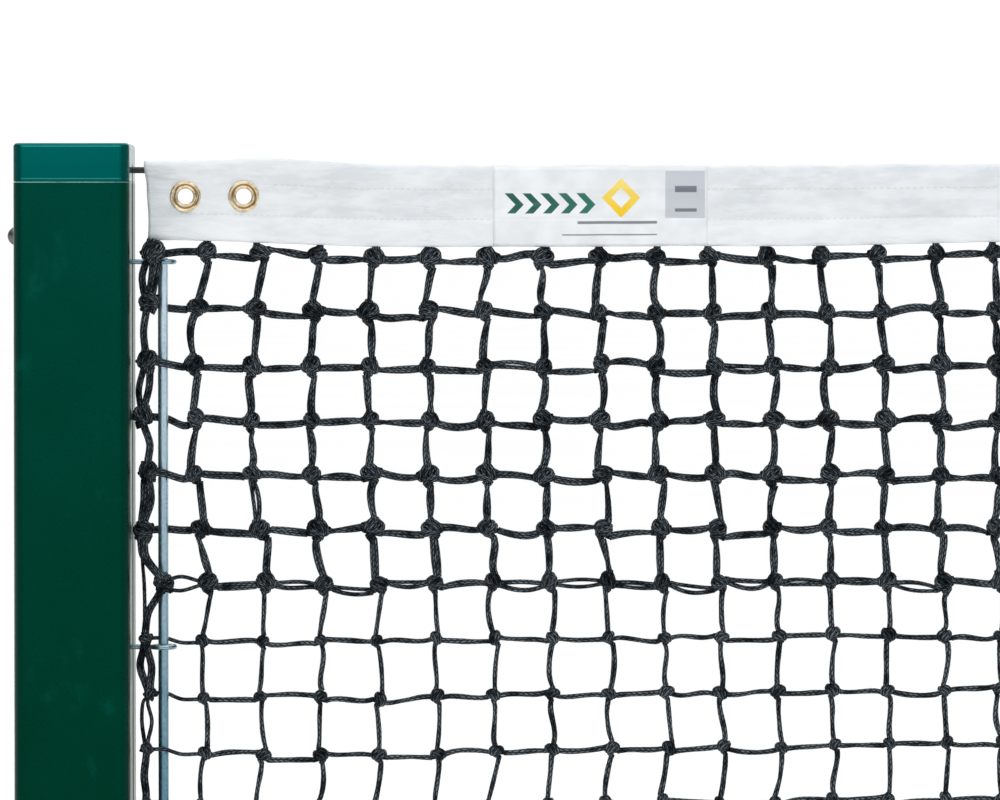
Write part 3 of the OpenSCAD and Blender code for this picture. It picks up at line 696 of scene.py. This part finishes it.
def hermite(p0, p1, m0, m1, count):
    """Curves from p0 to p1 that leave along m0 and arrive along m1."""
    t = np.linspace(0, 1, count)[None, :, None]
    return ((2 * t**3 - 3 * t**2 + 1) * p0[:, None] + (t**3 - 2 * t**2 + t) * m0[:, None]
            + (-2 * t**3 + 3 * t**2) * p1[:, None] + (t**3 - t**2) * m1[:, None])


# Radius of one strand of a leg, alone and in a pair, and half the distance between a pair's centres
ONE_R, PAIR_R, PAIR_GAP = 2.30, 2.05, 1.36


def leg_paths(a, b, ways, count, g):
    """Paths from knots a to knots b, each (columns, rows), with a slight sway."""
    p0, p1 = exit_at(*a, ways[0]), exit_at(*b, ways[1])
    run = p1 - p0
    sway = jitter(g, p0.shape, 1.5) * [1, 0.6, 1]
    back = sway * 4 * g.choice([-1, 1], (len(p0), 1))
    return hermite(p0, p1, run * 0.9 + sway * 4, run * 0.9 - back, count)


def one_strand(store, p, sides, g, u0):
    """A single flattened strand along each path."""
    m, t = len(p), np.linspace(0, 1, p.shape[1])[None]
    thick = ONE_R * (1 + 0.06 * np.sin(t * 9 + u0[:, None] * 6.28))
    roll = g.uniform(0, np.pi, (m, 1)) + g.uniform(-2, 2, (m, 1)) * t
    store.put(*tubes(p, thick, sides, u0=u0, flat=0.82, roll=roll))


def strand_pair(store, p, across, lens, sides, g, u0):
    """Two flattened strands along each path, against each other or lens apart, turning about each other."""
    m, t = len(p), np.linspace(0, 1, p.shape[1])[None]
    part = (PAIR_GAP + lens[:, None] * np.sin(np.pi * t) ** 1.2)[:, :, None]
    rate = g.uniform(0.8, 3.4, (m, 1)) * g.choice([-1, 1], (m, 1)) * (lens[:, None] < 0.3)
    turn = jitter(g, (m, 1), 0.55) + rate * (t - 0.5)
    cos, sin = np.cos(turn)[:, :, None], np.sin(turn)[:, :, None]
    off = cos * np.asarray(across, float) + sin * np.array([0, 1.0, 0])
    for s in (-1, 1):
        roll = g.uniform(0, np.pi, (m, 1)) + g.uniform(-1.2, 1.2, (m, 1)) * t
        store.put(*tubes(p + off * part * s, PAIR_R, sides, u0=u0 + 0.31 * s, flat=0.80, roll=roll))


def legs(store, a, b, ways, across, lens, level, seed):
    """Cords between knots a and b, of two strands down to row DOUBLE and of one below."""
    g = np.random.default_rng(seed)
    count, sides = (12, 7) if level == "high" else (5, 4)
    p = leg_paths(a, b, ways, count, g)
    u0 = g.uniform(0, 1, len(p))
    if b[1][0] <= DOUBLE:
        strand_pair(store, p, across, lens, sides, g, u0)
    else:
        one_strand(store, p, sides, g, u0)


def panel_knots(store, c, r, level):
    """The knots at columns c and rows r."""
    for kind in sorted(set(KIND[r])):
        for flip in (False, True):
            k = (KIND[r] == kind) & (FLIP[c, r] == flip)
            if k.any():
                store.copies(KNOTS[kind, level][int(flip)], placed(c[k], r[k]))


def stubs(store, c):
    """Pairs of strands from the top knots up into the headband."""
    top = exit_at(c, 0 * c, "up")
    end = np.stack([top[:, 0], 0 * top[:, 0], np.full(len(c), STUB_TOP)], -1)
    p = hermite(top, end, end - top, end - top, 4)
    for s in (-1, 1):
        store.put(*tubes(p + np.array([STUB_GAP * s, 0, 0]), TWINE, 6))


def few_parted(g, count):
    """How far the strands of each leg part: hardly at all, but for a few legs."""
    return 1.6 * g.uniform(0, 1.0, count) ** 30


def panel(c0, c1, rows, level, name, node):
    """Knots of columns c0 to c1 and the given rows, with the legs to their right and above them."""
    store = Store("braid")
    cs, rs = (a.ravel() for a in np.meshgrid(np.arange(c0, c1), np.array(rows), indexing="ij"))
    panel_knots(store, cs, rs, level)
    seed = c0 * 100 + rows[0]
    g = np.random.default_rng(seed + 7)
    k = cs < COLS - 1
    c, r = cs[k], rs[k]
    lens = np.where(r == DOUBLE, g.uniform(0.4, 2.6, len(r)), few_parted(g, len(r)))
    legs(store, (c, r), (c + 1, r), ("right", "left"), (0, 0, 1), lens, level, seed + 1)
    k = rs > 0
    c, r = cs[k], rs[k]
    legs(store, (c, r - 1), (c, r), ("down", "up"), (1, 0, 0), few_parted(g, len(r)), level, seed + 2)
    if rows[0] == 0:
        stubs(store, np.arange(c0, c1))
    ob = store.finish(name, MATS["net_twine"], node)


# Top rows and bottom rows, and the columns where the net is cut into panels, fine ones at the ends
UPPER, LOWER = list(range(0, DOUBLE + 1)), list(range(DOUBLE + 1, ROWS))
FINE = 9
CUTS = [0, FINE, *(int(x) for x in np.linspace(2 * FINE, COLS - 2 * FINE, 8)), COLS - FINE, COLS]
for i, (c0, c1) in enumerate(zip(CUTS[:-1], CUTS[1:], strict=True)):
    level = "high" if c1 <= 2 * FINE or c0 >= COLS - FINE else "low"
    panel(c0, c1, UPPER, level, f"net_double_{i:02d}", "net_double_rows")
    panel(c0, c1, LOWER, level, f"net_single_{i:02d}", "net_single_rows")


# ---------- edge lacing
# Edge knots from the top: distance from the post, height above the row, size
EDGE = {0: (17.5, 1.5, 1.04), 1: (13.6, 5.5, 0.86), 2: (12.6, 3.0, 0.92), 3: (8.0, 2.5, 0.90),
        4: (13.0, 3.0, 0.84), 5: (9.0, -1.0, 0.88), 6: (24.8, 0.5, 0.86), 7: (10.6, 1.0, 0.56),
        8: (14.0, 1.0, 0.54), 9: (11.2, 0.5, 0.54)}
# Cords between edge knots k and k + 1: (distances from the post at three places, or None for the cord that
# runs past the knot on the rod, number of strands)
BETWEEN = {0: [((11, 8.0, 9.5), 2), ((16.5, 15.5, 13.5), 2), ((20.5, 18.6, 16.5), 2)],
           1: [((11, 9.0, 10.5), 2)],
           2: [((8.5, 5.2, 6.2), 2), ((14.0, 13.2, 9.5), 2)],
           3: [((9.5, 14.0, 12.5), 2)],
           4: [((9.5, 9.0, 7.5), 2), ((13.5, 15.0, 10.0), 2)],
           5: [((8.0, 10.0, 22.0), 3), (None, 1)],
           6: [((21.0, 13.0, 10.5), 2)],
           7: [((8.5, 5.8, 10.0), 2), ((11.5, 15.0, 14.0), 2)],
           8: [((8.0, 7.2, 9.0), 1), ((12.0, 15.2, 12.5), 1)]}
# The edge knot that sits on the rod, its depth, and how much further forward some others hang
ON_ROD, ON_ROD_Y = 6, -9.4
FORWARD = {0: 2.2, 1: 3.6}
# Radius of an edge cord's strand, and the least height of the top leg where it passes the topmost hook
EDGE_R, OVER_HOOK = 1.72, 998.6


def in_front(k):
    """Whether the cord from edge knot k passes in front of the rod."""
    return k % 2 == 0 if k < 7 else k > 8 and k % 2 == 1


def depth(d):
    """How far in front of the net's plane the edge cords hang at distance d from the post."""
    return -6.6 - max(0.0, d - 9.0) * 0.62


def place(side, d, y, z):
    """The point at distance d from the post on that side of the net."""
    return (side * (FACE - d), y, z)


def side_spline(side, points, count):
    """Curve through points given by their distance from the post, depth and height."""
    return spline([place(side, *q) for q in points], count)


def edge_knot(store, side, k, spot, size, a):
    """Edge knot k, turned by the angle a about Y."""
    kind = "double" if size > 0.6 else "single"
    turned = np.array([[math.cos(a), 0, math.sin(a)], [0, 0.86, 0], [-math.sin(a), 0, math.cos(a)]])
    m = np.zeros((1, 3, 4))
    m[0, :, :3] = turned * (size / KINDS[kind][0])
    m[0, :, 3] = place(side, *spot)
    store.copies(KNOTS[kind, "high"][int(k % 2 == (side < 0))], m)


def edge_leg(store, side, k, spot, dz):
    """Strands from edge knot k past the rod to the first full column on that side."""
    d, y, z = spot
    column = np.array([0 if side < 0 else COLS - 1])
    end = exit_at(column, np.array([k]), "left" if side < 0 else "right")[0]
    rise = max(end[2], OVER_HOOK) if k == 0 else end[2]
    for s in (-1, 1) if k <= DOUBLE else (0,):
        if k == ON_ROD:
            rod_y, spread, path = -8.2, s * 4.0, [(d - 1, y, z)]
        else:
            rod_y, spread = -7.3 if in_front(k) else 7.3, 0.0
            beside = (y + rod_y) / 2 if in_front(k) else rod_y * 0.68
            path = [(d + 1, y + 1, z), ((d + ROD_X) / 2 + 1, beside, z - dz * 0.4)]
        path += [(ROD_X + 2, rod_y, z - dz * 0.8 + spread * 0.3), (ROD_X + 14, rod_y * 0.35, rise + spread)]
        p = spline([place(side, *q) for q in path] + [tuple(end)], 26) + np.array([0, 0, s * 1.5])
        store.put(*tubes(p[None], TWINE, 7, start=(0, 0, 1.0), u0=k * 0.37 + s))


def edge_plan(k, g):
    """Cords between edge knots k and k + 1, seeded where BETWEEN doesn't give them."""
    if k in BETWEEN:
        return BETWEEN[k]
    apart = [((9.0, g.uniform(6.0, 8.0), 9.0), 1), ((12.0, g.uniform(13, 15.5), 12.5), 1)]
    together = [((10.5, g.uniform(9.0, 12.0), 10.5), 2)]
    return (apart, together)[int(g.integers(0, 2))]


def cord_path(side, k, spots, a, b, e):
    """Path between edge knots k and k + 1 through distances a, b and e from the post."""
    (d0, y0, z0), (d1, y1, z1) = spots[k], spots[k + 1]
    above = 6 if k + 1 == ON_ROD else 8
    points = [(d0 + (a - d0) * 0.4, y0, z0 - 2), (a, depth(a), z0 - 8), (b, depth(b), (z0 + z1) / 2),
              (e, depth(e), z1 + above), (d1 + (e - d1) * 0.4, y1, z1 + 2)]
    return side_spline(side, points, 22)


def passing_path(side, z0, z1):
    """Path of the cord that runs past the knot on the rod, at height z1."""
    middle = (z0 + z1) / 2
    points = [(9.0, depth(9), z0 - 6), (7.8, depth(8), middle), (9.2, depth(9), z1),
              (9.8, depth(10), z1 - 30)]
    return side_spline(side, points, 30)


def edge_cord(store, p, strands, u0, g):
    """Strands side by side along path p, turning slowly about each other."""
    t = np.linspace(0, 1, len(p))
    spin = g.uniform(-0.5, 0.5) + g.uniform(-0.9, 0.9) * t
    off = np.stack([np.cos(spin), np.sin(spin) * 0.6, 0 * t], -1)
    for i in range(strands):
        s = (i - (strands - 1) / 2) * 3.0
        roll = g.uniform(0, 3) + t * 1.5
        store.put(*tubes((p + off * s)[None], EDGE_R, 7, u0=u0 + i * 0.3, flat=0.84, roll=roll))


def edge_tail(store, side, spot):
    """Two strands from the top edge knot into the headband."""
    d, y, z = spot
    for s in (-1, 1):
        points = [(d + s * 3, y + 4, z), (d + s * 2.4, -0.8, z + 7), (d + s * 2, 0.0, z + 16)]
        p = side_spline(side, points, 8)
        store.put(*tubes(p[None], TWINE, 7))


def edge(side, name, node):
    """The edge of the net on one side, laced round the rod."""
    g = np.random.default_rng(5 if side < 0 else 6)
    store = Store("braid")
    spots = []
    for k in range(ROWS):
        d, dz, size = EDGE.get(k, (g.uniform(9.4, 12.0), g.uniform(-1, 2), g.uniform(0.44, 0.5)))
        z = ROW_TOP - k * ROW_PITCH + dz + (BOTTOM_LIFT if k == ROWS - 1 else 0.0)
        spots.append((d, ON_ROD_Y if k == ON_ROD else depth(d) - FORWARD.get(k, 0.0), z))
        edge_knot(store, side, k, spots[k], size, g.uniform(-0.5, 0.5))
        edge_leg(store, side, k, spots[k], dz)
    for k in range(ROWS - 1):
        for cord, strands in edge_plan(k, g):
            p = cord_path(side, k, spots, *cord) if cord else passing_path(side, spots[k][2], spots[k + 1][2])
            edge_cord(store, p, strands, k * 0.7, g)
    edge_tail(store, side, spots[0])
    ob = store.finish(name, MATS["net_twine"], node)


edge(-1, "edge_lacing_left", "left_edge_lacing")
edge(1, "edge_lacing_right", "right_edge_lacing")


# ---------- headband
BAND_END = FACE - BAND_GAP - 0.3
BAND_H = BAND_TOP - BAND_LOW
# Length from each post over which the band is modelled finely, and the steps along it there and elsewhere
NEAR, FINE_STEP, COARSE_STEP = 690.0, 2.7, 60.0
# Front half of the folded strip's section, from the bottom edge up: (depth in front of the centre, height)
SECTION = [(1.5, 0.0), (2.5, 0.6), (2.9, 3.0), (3.1, 8.0), (3.1, 14.0), (2.9, 18.0), (2.7, 19.4),
           (1.7, 20.6), (1.7, 22.5), (2.1, 27.0), (2.3, 32.0), (2.1, 37.0), (1.7, 40.6), (1.3, 42.2),
           (1.3, 42.9), (1.8, 44.4), (2.9, 47.6), (4.1, 51.0), (4.8, 54.0), (4.8, 56.6), (3.9, 59.1),
           (2.1, 60.6), (0.0, 61.0)]
# Heights of the two seams over the band's lower edge, and the distance from stitch to stitch
SEAMS, STITCH = (19.9, 42.5), 5.2
# Distances of the eyelets from the post, their height, and the radius of their holes in the band
EYELETS_FROM, EYELET_Z, EYELET_HOLE = [BAND_GAP + 33.0 + k * 45.5 for k in (0, 1)], 1044.0, 8.4
# The label lies on the same grid as the band under it: its first step, its number of steps, its top edge
LABEL_FIRST, LABEL_STEPS, LABEL_TOP = 101, 62, 58.5
LABEL_START, LABEL_L = -BAND_END + FINE_STEP * LABEL_FIRST, FINE_STEP * LABEL_STEPS
# Number of creases on each side, heights of the long ones over the lower edge, and the steps of their grid
CREASE_COUNT, CREASE_HEIGHTS = 1300, [8.0, 29.0, 34.0, 39.0]
CREASE_DX, CREASE_DZ = 2.0, 1.5


def split_long(points, longest):
    """Adds a point in the middle of every stretch that is longer than the given length."""
    out = [points[0]]
    for a, b in zip(points[:-1], points[1:], strict=True):
        if math.dist(a, b) > longest:
            out.append(((a[0] + b[0]) / 2, (a[1] + b[1]) / 2))
        out.append(b)
    return np.array(out)


SEC = split_long(SECTION, 2.7)
tangent = np.gradient(SEC, axis=0)
SEC_N = unit(np.stack([tangent[:, 1], -tangent[:, 0]], -1))
SEC_N[-1] = (0.0, 1.0)


def wave(x, seed):
    """Seeded unevenness along the band, of several lengths."""
    g = np.random.default_rng(seed)
    out = 0 * x
    for length in (1900, 760, 410, 230, 131, 73):
        size = math.sqrt(length / 1900) * g.uniform(0.4, 1.0)
        out = out + size * np.sin(2 * np.pi * x / length + g.uniform(0, 6.28))
    return out


def pucker(g, seam):
    """A short upright crease at a seam: its height, length, width and angle."""
    z = seam + g.normal(0, 4.0)
    return z, g.uniform(5, 10), g.uniform(2.6, 4.2), math.radians(90 + g.normal(0, 18))


def long_crease(g):
    """A long level crease: its height, length, width and angle."""
    z = g.choice(CREASE_HEIGHTS) + g.normal(0, 4.0)
    return z, g.uniform(16, 75), g.uniform(2.6, 5.0), math.radians(g.normal(0, 9))


def crease_field(seed):
    """Depth of the creases over one side of the band, on a grid along its length and height."""
    g = np.random.default_rng(seed)
    gx = np.arange(-BAND_END - 10, BAND_END + 10, CREASE_DX)
    gz = np.arange(-3, BAND_H + 3, CREASE_DZ)
    field = np.zeros((len(gx), len(gz)))
    for n in range(CREASE_COUNT):
        short = n % 3 == 0
        x = g.uniform(-BAND_END, BAND_END)
        z, length, width, tilt = pucker(g, SEAMS[n % 2]) if short else long_crease(g)
        high = g.uniform(0.6, 1.9) * g.choice([-1, 1]) * (0.5 if short else 1.0)
        reach = 2.5 * (width + length * 0.4 if short else length)
        i0, i1 = np.searchsorted(gx, (x - reach, x + reach))
        u, v = gx[i0:i1, None] - x, gz[None] - z
        along, across = u * math.cos(tilt) + v * math.sin(tilt), v * math.cos(tilt) - u * math.sin(tilt)
        field[i0:i1] += high * np.exp(-((along / length) ** 2) - (across / width) ** 2)
    return gx[0], gz[0], field


CREASES = {False: crease_field(61), True: crease_field(62)}


def creases(x, z, back):
    """Depth of the creases at length x and height z, read from the grid."""
    x0, z0, field = CREASES[back]
    fx, fz = (x - x0) / CREASE_DX, (z - z0) / CREASE_DZ
    i, j = fx.astype(int).clip(0, field.shape[0] - 2), fz.astype(int).clip(0, field.shape[1] - 2)
    a, b = (fx - i).clip(0, 1), (fz - j).clip(0, 1)
    return (field[i, j] * (1 - a) * (1 - b) + field[i + 1, j] * a * (1 - b) + field[i, j + 1] * (1 - a) * b
            + field[i + 1, j + 1] * a * b)


def band_lift(x, h, s):
    """How far the band is above its straight place, at part h of its height and distance s from the post."""
    top = -1.0 + 2.0 * bell(s, 9, 45) + 4.8 * bell(s, 95, 58) + 0.45 * wave(x, 3)
    low = 0.9 + 1.75 * sag(x) + 0.25 * wave(x, 9) + 0.22 * wave(x * 3.1, 12)
    return top * h**1.4 + low * (1 - h)


def band_ripple(x, y, z, h, s, back):
    """Depth of the waves, creases and stitch marks, calm at the fold, round the eyelets and at the post."""
    soft = np.sin(np.pi * (h * 1.2).clip(0, 1)) + 0.25 * (h < 0.3)
    held_flat = (y / 1.5).clip(0, 1) * smooth(s, 8, 24)
    rings = sum(np.exp(-((s - d) ** 2 + (z + BAND_LOW - EYELET_Z) ** 2) / 17.0**2) for d in EYELETS_FROM)
    calm = smooth(58 - z, 0, 8) * (1 - rings).clip(0, 1)
    deep = 0.34 * wave(x * 1.7, 21 if back else 22) * soft + (0.3 + 0.7 * (s < NEAR)) * creases(x, z, back)
    stitched = sum(bell(z, seam, 2.6) for seam in SEAMS)
    return deep * calm * held_flat + 0.10 * np.cos(2 * np.pi * x / STITCH) * stitched


def band_surface(x, where, back, out=0.0):
    """Points (N, K, 3) of the band at lengths x (N,) and section places where (K,), moved out of it."""
    where = np.asarray(where, float)
    spots = np.arange(len(SEC))
    y, z = (np.interp(where, spots, SEC[:, k])[None] for k in (0, 1))
    ny, nz = (np.interp(where, spots, SEC_N[:, k])[None] for k in (0, 1))
    x = x[:, None] + 0 * y
    h = (z / BAND_H).clip(0, 1)
    s = FACE - np.abs(x)
    dz = band_lift(x, h, s)
    y = np.maximum(y + band_ripple(x, y, z, h, s, back), np.where(z < 60, 0.9, 0.0)) + out * ny
    # The end edge is drawn in, most at its foot
    pulled_in = bell(s, BAND_GAP, 22.0) * (3.2 * smooth(1 - h, 0.02, 0.32) + 0.7 * np.sin(7.0 * h))
    return np.stack([x - np.sign(x) * pulled_in, (y if back else -y), BAND_LOW + z + out * nz + dz], -1)


def surface_quads(nx, ns):
    """Quads of a grid of nx by ns points."""
    i, j = np.meshgrid(np.arange(nx - 1), np.arange(ns - 1), indexing="ij")
    return np.stack([i * ns + j, (i + 1) * ns + j, (i + 1) * ns + j + 1, i * ns + j + 1], -1).reshape(-1, 4)


def grid_places(us, vs):
    """Texture places of a grid's points."""
    return np.stack(np.meshgrid(us, vs, indexing="ij"), -1).reshape(-1, 2)


def thicken(ob, mm):
    """Gives a sheet its thickness."""
    mod = ob.modifiers.new("thickness", "SOLIDIFY")
    mod.thickness, mod.offset = mm * MM, 0.0


EYELETS = [s * (FACE - d) for s in (-1, 1) for d in EYELETS_FROM]


def headband():
    """The folded strip: front, over the cable, and down the back, with the eyelet holes cut out."""
    stops = np.append(np.arange(0, NEAR, FINE_STEP), NEAR)
    middle = np.arange(-BAND_END + NEAR, BAND_END - NEAR, COARSE_STEP)[1:]
    xs = np.concatenate([-BAND_END + stops, middle, (BAND_END - stops)[::-1]])
    up = np.arange(len(SEC))
    grid = np.concatenate([band_surface(xs, up, False), band_surface(xs, up[-2::-1], True)], 1)
    quads = surface_quads(*grid.shape[:2])
    centre = grid.reshape(-1, 3)[quads].mean(1)
    keep = np.ones(len(quads), bool)
    for ex in EYELETS:
        keep &= np.hypot(centre[:, 0] - ex, centre[:, 2] - EYELET_Z) > EYELET_HOLE
    # The width of the flat strip is measured over the fold, on a plain stretch of the band
    plain = grid[len(stops) + 5]
    along = np.r_[0, np.cumsum(np.linalg.norm(np.diff(plain, axis=0), axis=-1))] * MM
    store = Store("strip")
    store.put(grid, quads[keep], grid_places(xs * MM, along)[quads[keep]])
    ob = store.finish("headband_strip", MATS["coated_fabric"], "headband")
    thicken(ob, 0.7)
    return ob, float(along[-1])


band, FLAT_W = headband()


def stitches(name, height, start, dark, light):
    """A row of stitches on both sides of the band, each a short piece of thread that dips in at its ends."""
    where = float(np.interp(height, SEC[:-6, 1], np.arange(len(SEC) - 6)))
    store = Store("strip")
    x = np.arange(-BAND_END + start, BAND_END - start, STITCH)
    fine = np.abs(x) > FACE - NEAR
    covered = np.abs(x - LABEL_START - LABEL_L / 2) < LABEL_L / 2
    for back in (False, True):
        for some, count, sides in ((fine & (back | ~covered), 5, 5), (~fine, 3, 4)):
            t = np.linspace(-1.5, 1.5, count)
            p = band_surface((x[some][:, None] + t[None]).ravel(), [where], back, 0.40).reshape(-1, count, 3)
            r = 0.38 * np.sqrt(np.maximum(1 - (t / 1.65) ** 2, 0.05))
            store.put(*tubes(p, np.broadcast_to(r, p.shape[:2]), sides))
    ob = store.finish("stitches_" + name, thread("thread_" + name, dark, light), "headband")


stitches("upper", SEAMS[1], 103.0, (0.66, 0.64, 0.50), (0.80, 0.78, 0.64))
stitches("lower", SEAMS[0], 4.0, (0.66, 0.68, 0.70), (0.80, 0.81, 0.82))


def label_strip():
    """The printed patch on the front of the band."""
    xs = LABEL_START + FINE_STEP * np.arange(LABEL_STEPS + 1)
    places = np.arange(1, int(np.searchsorted(SEC[:, 1], LABEL_TOP)) + 1)
    grid = band_surface(xs, places, False, 0.54)
    quads = surface_quads(*grid.shape[:2])
    store = Store("patch")
    store.put(grid, quads, grid_places((xs - xs[0]) * MM, SEC[places, 1] * MM)[quads])
    ob = store.finish("label_strip", MATS["label_vinyl"], "label_patch")
    thicken(ob, 0.3)
    return ob


patch = label_strip()


# ---------- eyelets
def lathe(profile, sides=48):
    """Turns (radius, along -Y) points about Y."""
    pr = np.array(profile, float)
    a = np.arange(sides) / sides * 2 * np.pi
    v = np.stack([pr[:, None, 0] * np.cos(a), -pr[:, None, 1] + 0 * a, pr[:, None, 0] * np.sin(a)], -1)
    i, j = np.meshgrid(np.arange(len(pr) - 1), np.arange(sides), indexing="ij")
    j2 = (j + 1) % sides
    i0, i1 = i * sides, (i + 1) * sides
    f = np.stack([i0 + j, i0 + j2, i1 + j2, i1 + j], -1).reshape(-1, 4)
    return v.reshape(-1, 3), f, np.repeat(pr, sides, axis=0)[f].reshape(-1, 2) * MM


# Front half of an eyelet's section, from the rim inwards: (radius, distance in front of the band's centre)
RING = [(12.0, 2.7), (12.1, 3.0), (11.8, 3.4), (11.2, 3.65), (10.5, 3.6), (9.8, 3.1), (9.25, 2.6), (8.8, 3.0),
        (8.3, 3.9), (7.7, 4.35), (7.0, 4.3), (6.5, 3.8), (6.25, 3.0), (6.1, 1.6), (6.05, 0.0)]


def eyelet_rings():
    """The brass eyelets, which go through the band and are rolled over on both sides."""
    v, f, uv = lathe(RING + [(r, -y) for r, y in RING[-2::-1]] + [(11.9, -2.5), (11.9, 2.5), RING[0]])
    store = Store("turned")
    for ex in EYELETS:
        store.put(v + [ex, 0, EYELET_Z], f, uv)
    ob = store.finish("eyelet_rings", MATS["eyelet_brass"], "eyelets")


eyelet_rings()


# ---------- stage, light and camera
def pale_floor():
    """A wide plain floor, just under the court's level."""
    g = Graph("floor_pale")
    shade = g.ramp(g.noise(g.coords(), 0.6, 2.0), 0.3, 0.7)
    colour = g.mix(shade, (0.955, 0.955, 0.955), (0.97, 0.97, 0.97))
    bpy.ops.mesh.primitive_circle_add(vertices=96, radius=900.0, fill_type="NGON")
    ob = bpy.context.active_object
    ob.name = "floor"
    ob.data.materials.append(g.surface(colour, 0.9, Specular_IOR_Level=0.0))
    ob.location.z = -0.0005


pale_floor()


def studio_world(over, back, front, sides):
    """White behind the net, brighter overhead, greyer in front of it and past both its ends."""
    world = bpy.data.worlds.new("studio")
    bpy.context.scene.world = world
    world.use_nodes = True
    g = Nodes(world.node_tree)
    x, y, z = g.split(g.nt.nodes.new("ShaderNodeTexCoord").outputs["Generated"])
    behind = g.ramp(z, 0.50, 0.80, back, over)
    ahead = g.ramp(y, -0.55, -0.10, front, behind)
    past = g.ramp(g.size(x), 0.40, 0.80, 1.0, sides)
    light = g.nt.nodes["Background"]
    g.put(light.inputs[1], g.times(ahead, past))
    g.put(light.inputs[0], (1.0, 1.0, 1.0))


studio_world(over=2.05, back=1.06, front=0.42, sides=0.18)


def aimed(name, data, at, to):
    """A light or camera at one place that faces another."""
    ob = bpy.data.objects.new(name, data)
    bpy.context.scene.collection.objects.link(ob)
    ob.location = at
    ob.rotation_euler = (Vector(to) - Vector(at)).to_track_quat("-Z", "Y").to_euler()
    return ob


def area(name, at, to, size, power):
    """A rectangular light."""
    data = bpy.data.lights.new(name, "AREA")
    data.shape, data.size, data.size_y, data.energy = "RECTANGLE", size[0], size[1], power
    aimed(name, data, at, to)


area("key", (-1.5, -3.6, 4.6), (-1.5, 0, 0.7), (17.0, 0.9), 205.0)


def camera(at, to, lens):
    """The scene's camera."""
    data = bpy.data.cameras.new("camera")
    data.sensor_width, data.lens = 36.0, lens
    data.clip_start, data.clip_end = 0.1, 3000.0
    bpy.context.scene.camera = aimed("camera", data, at, to)


camera((-6.068, -4.86, 1.0), (-6.068, 0, 0.885), 224.0)
bpy.context.scene.view_settings.view_transform = "Standard"
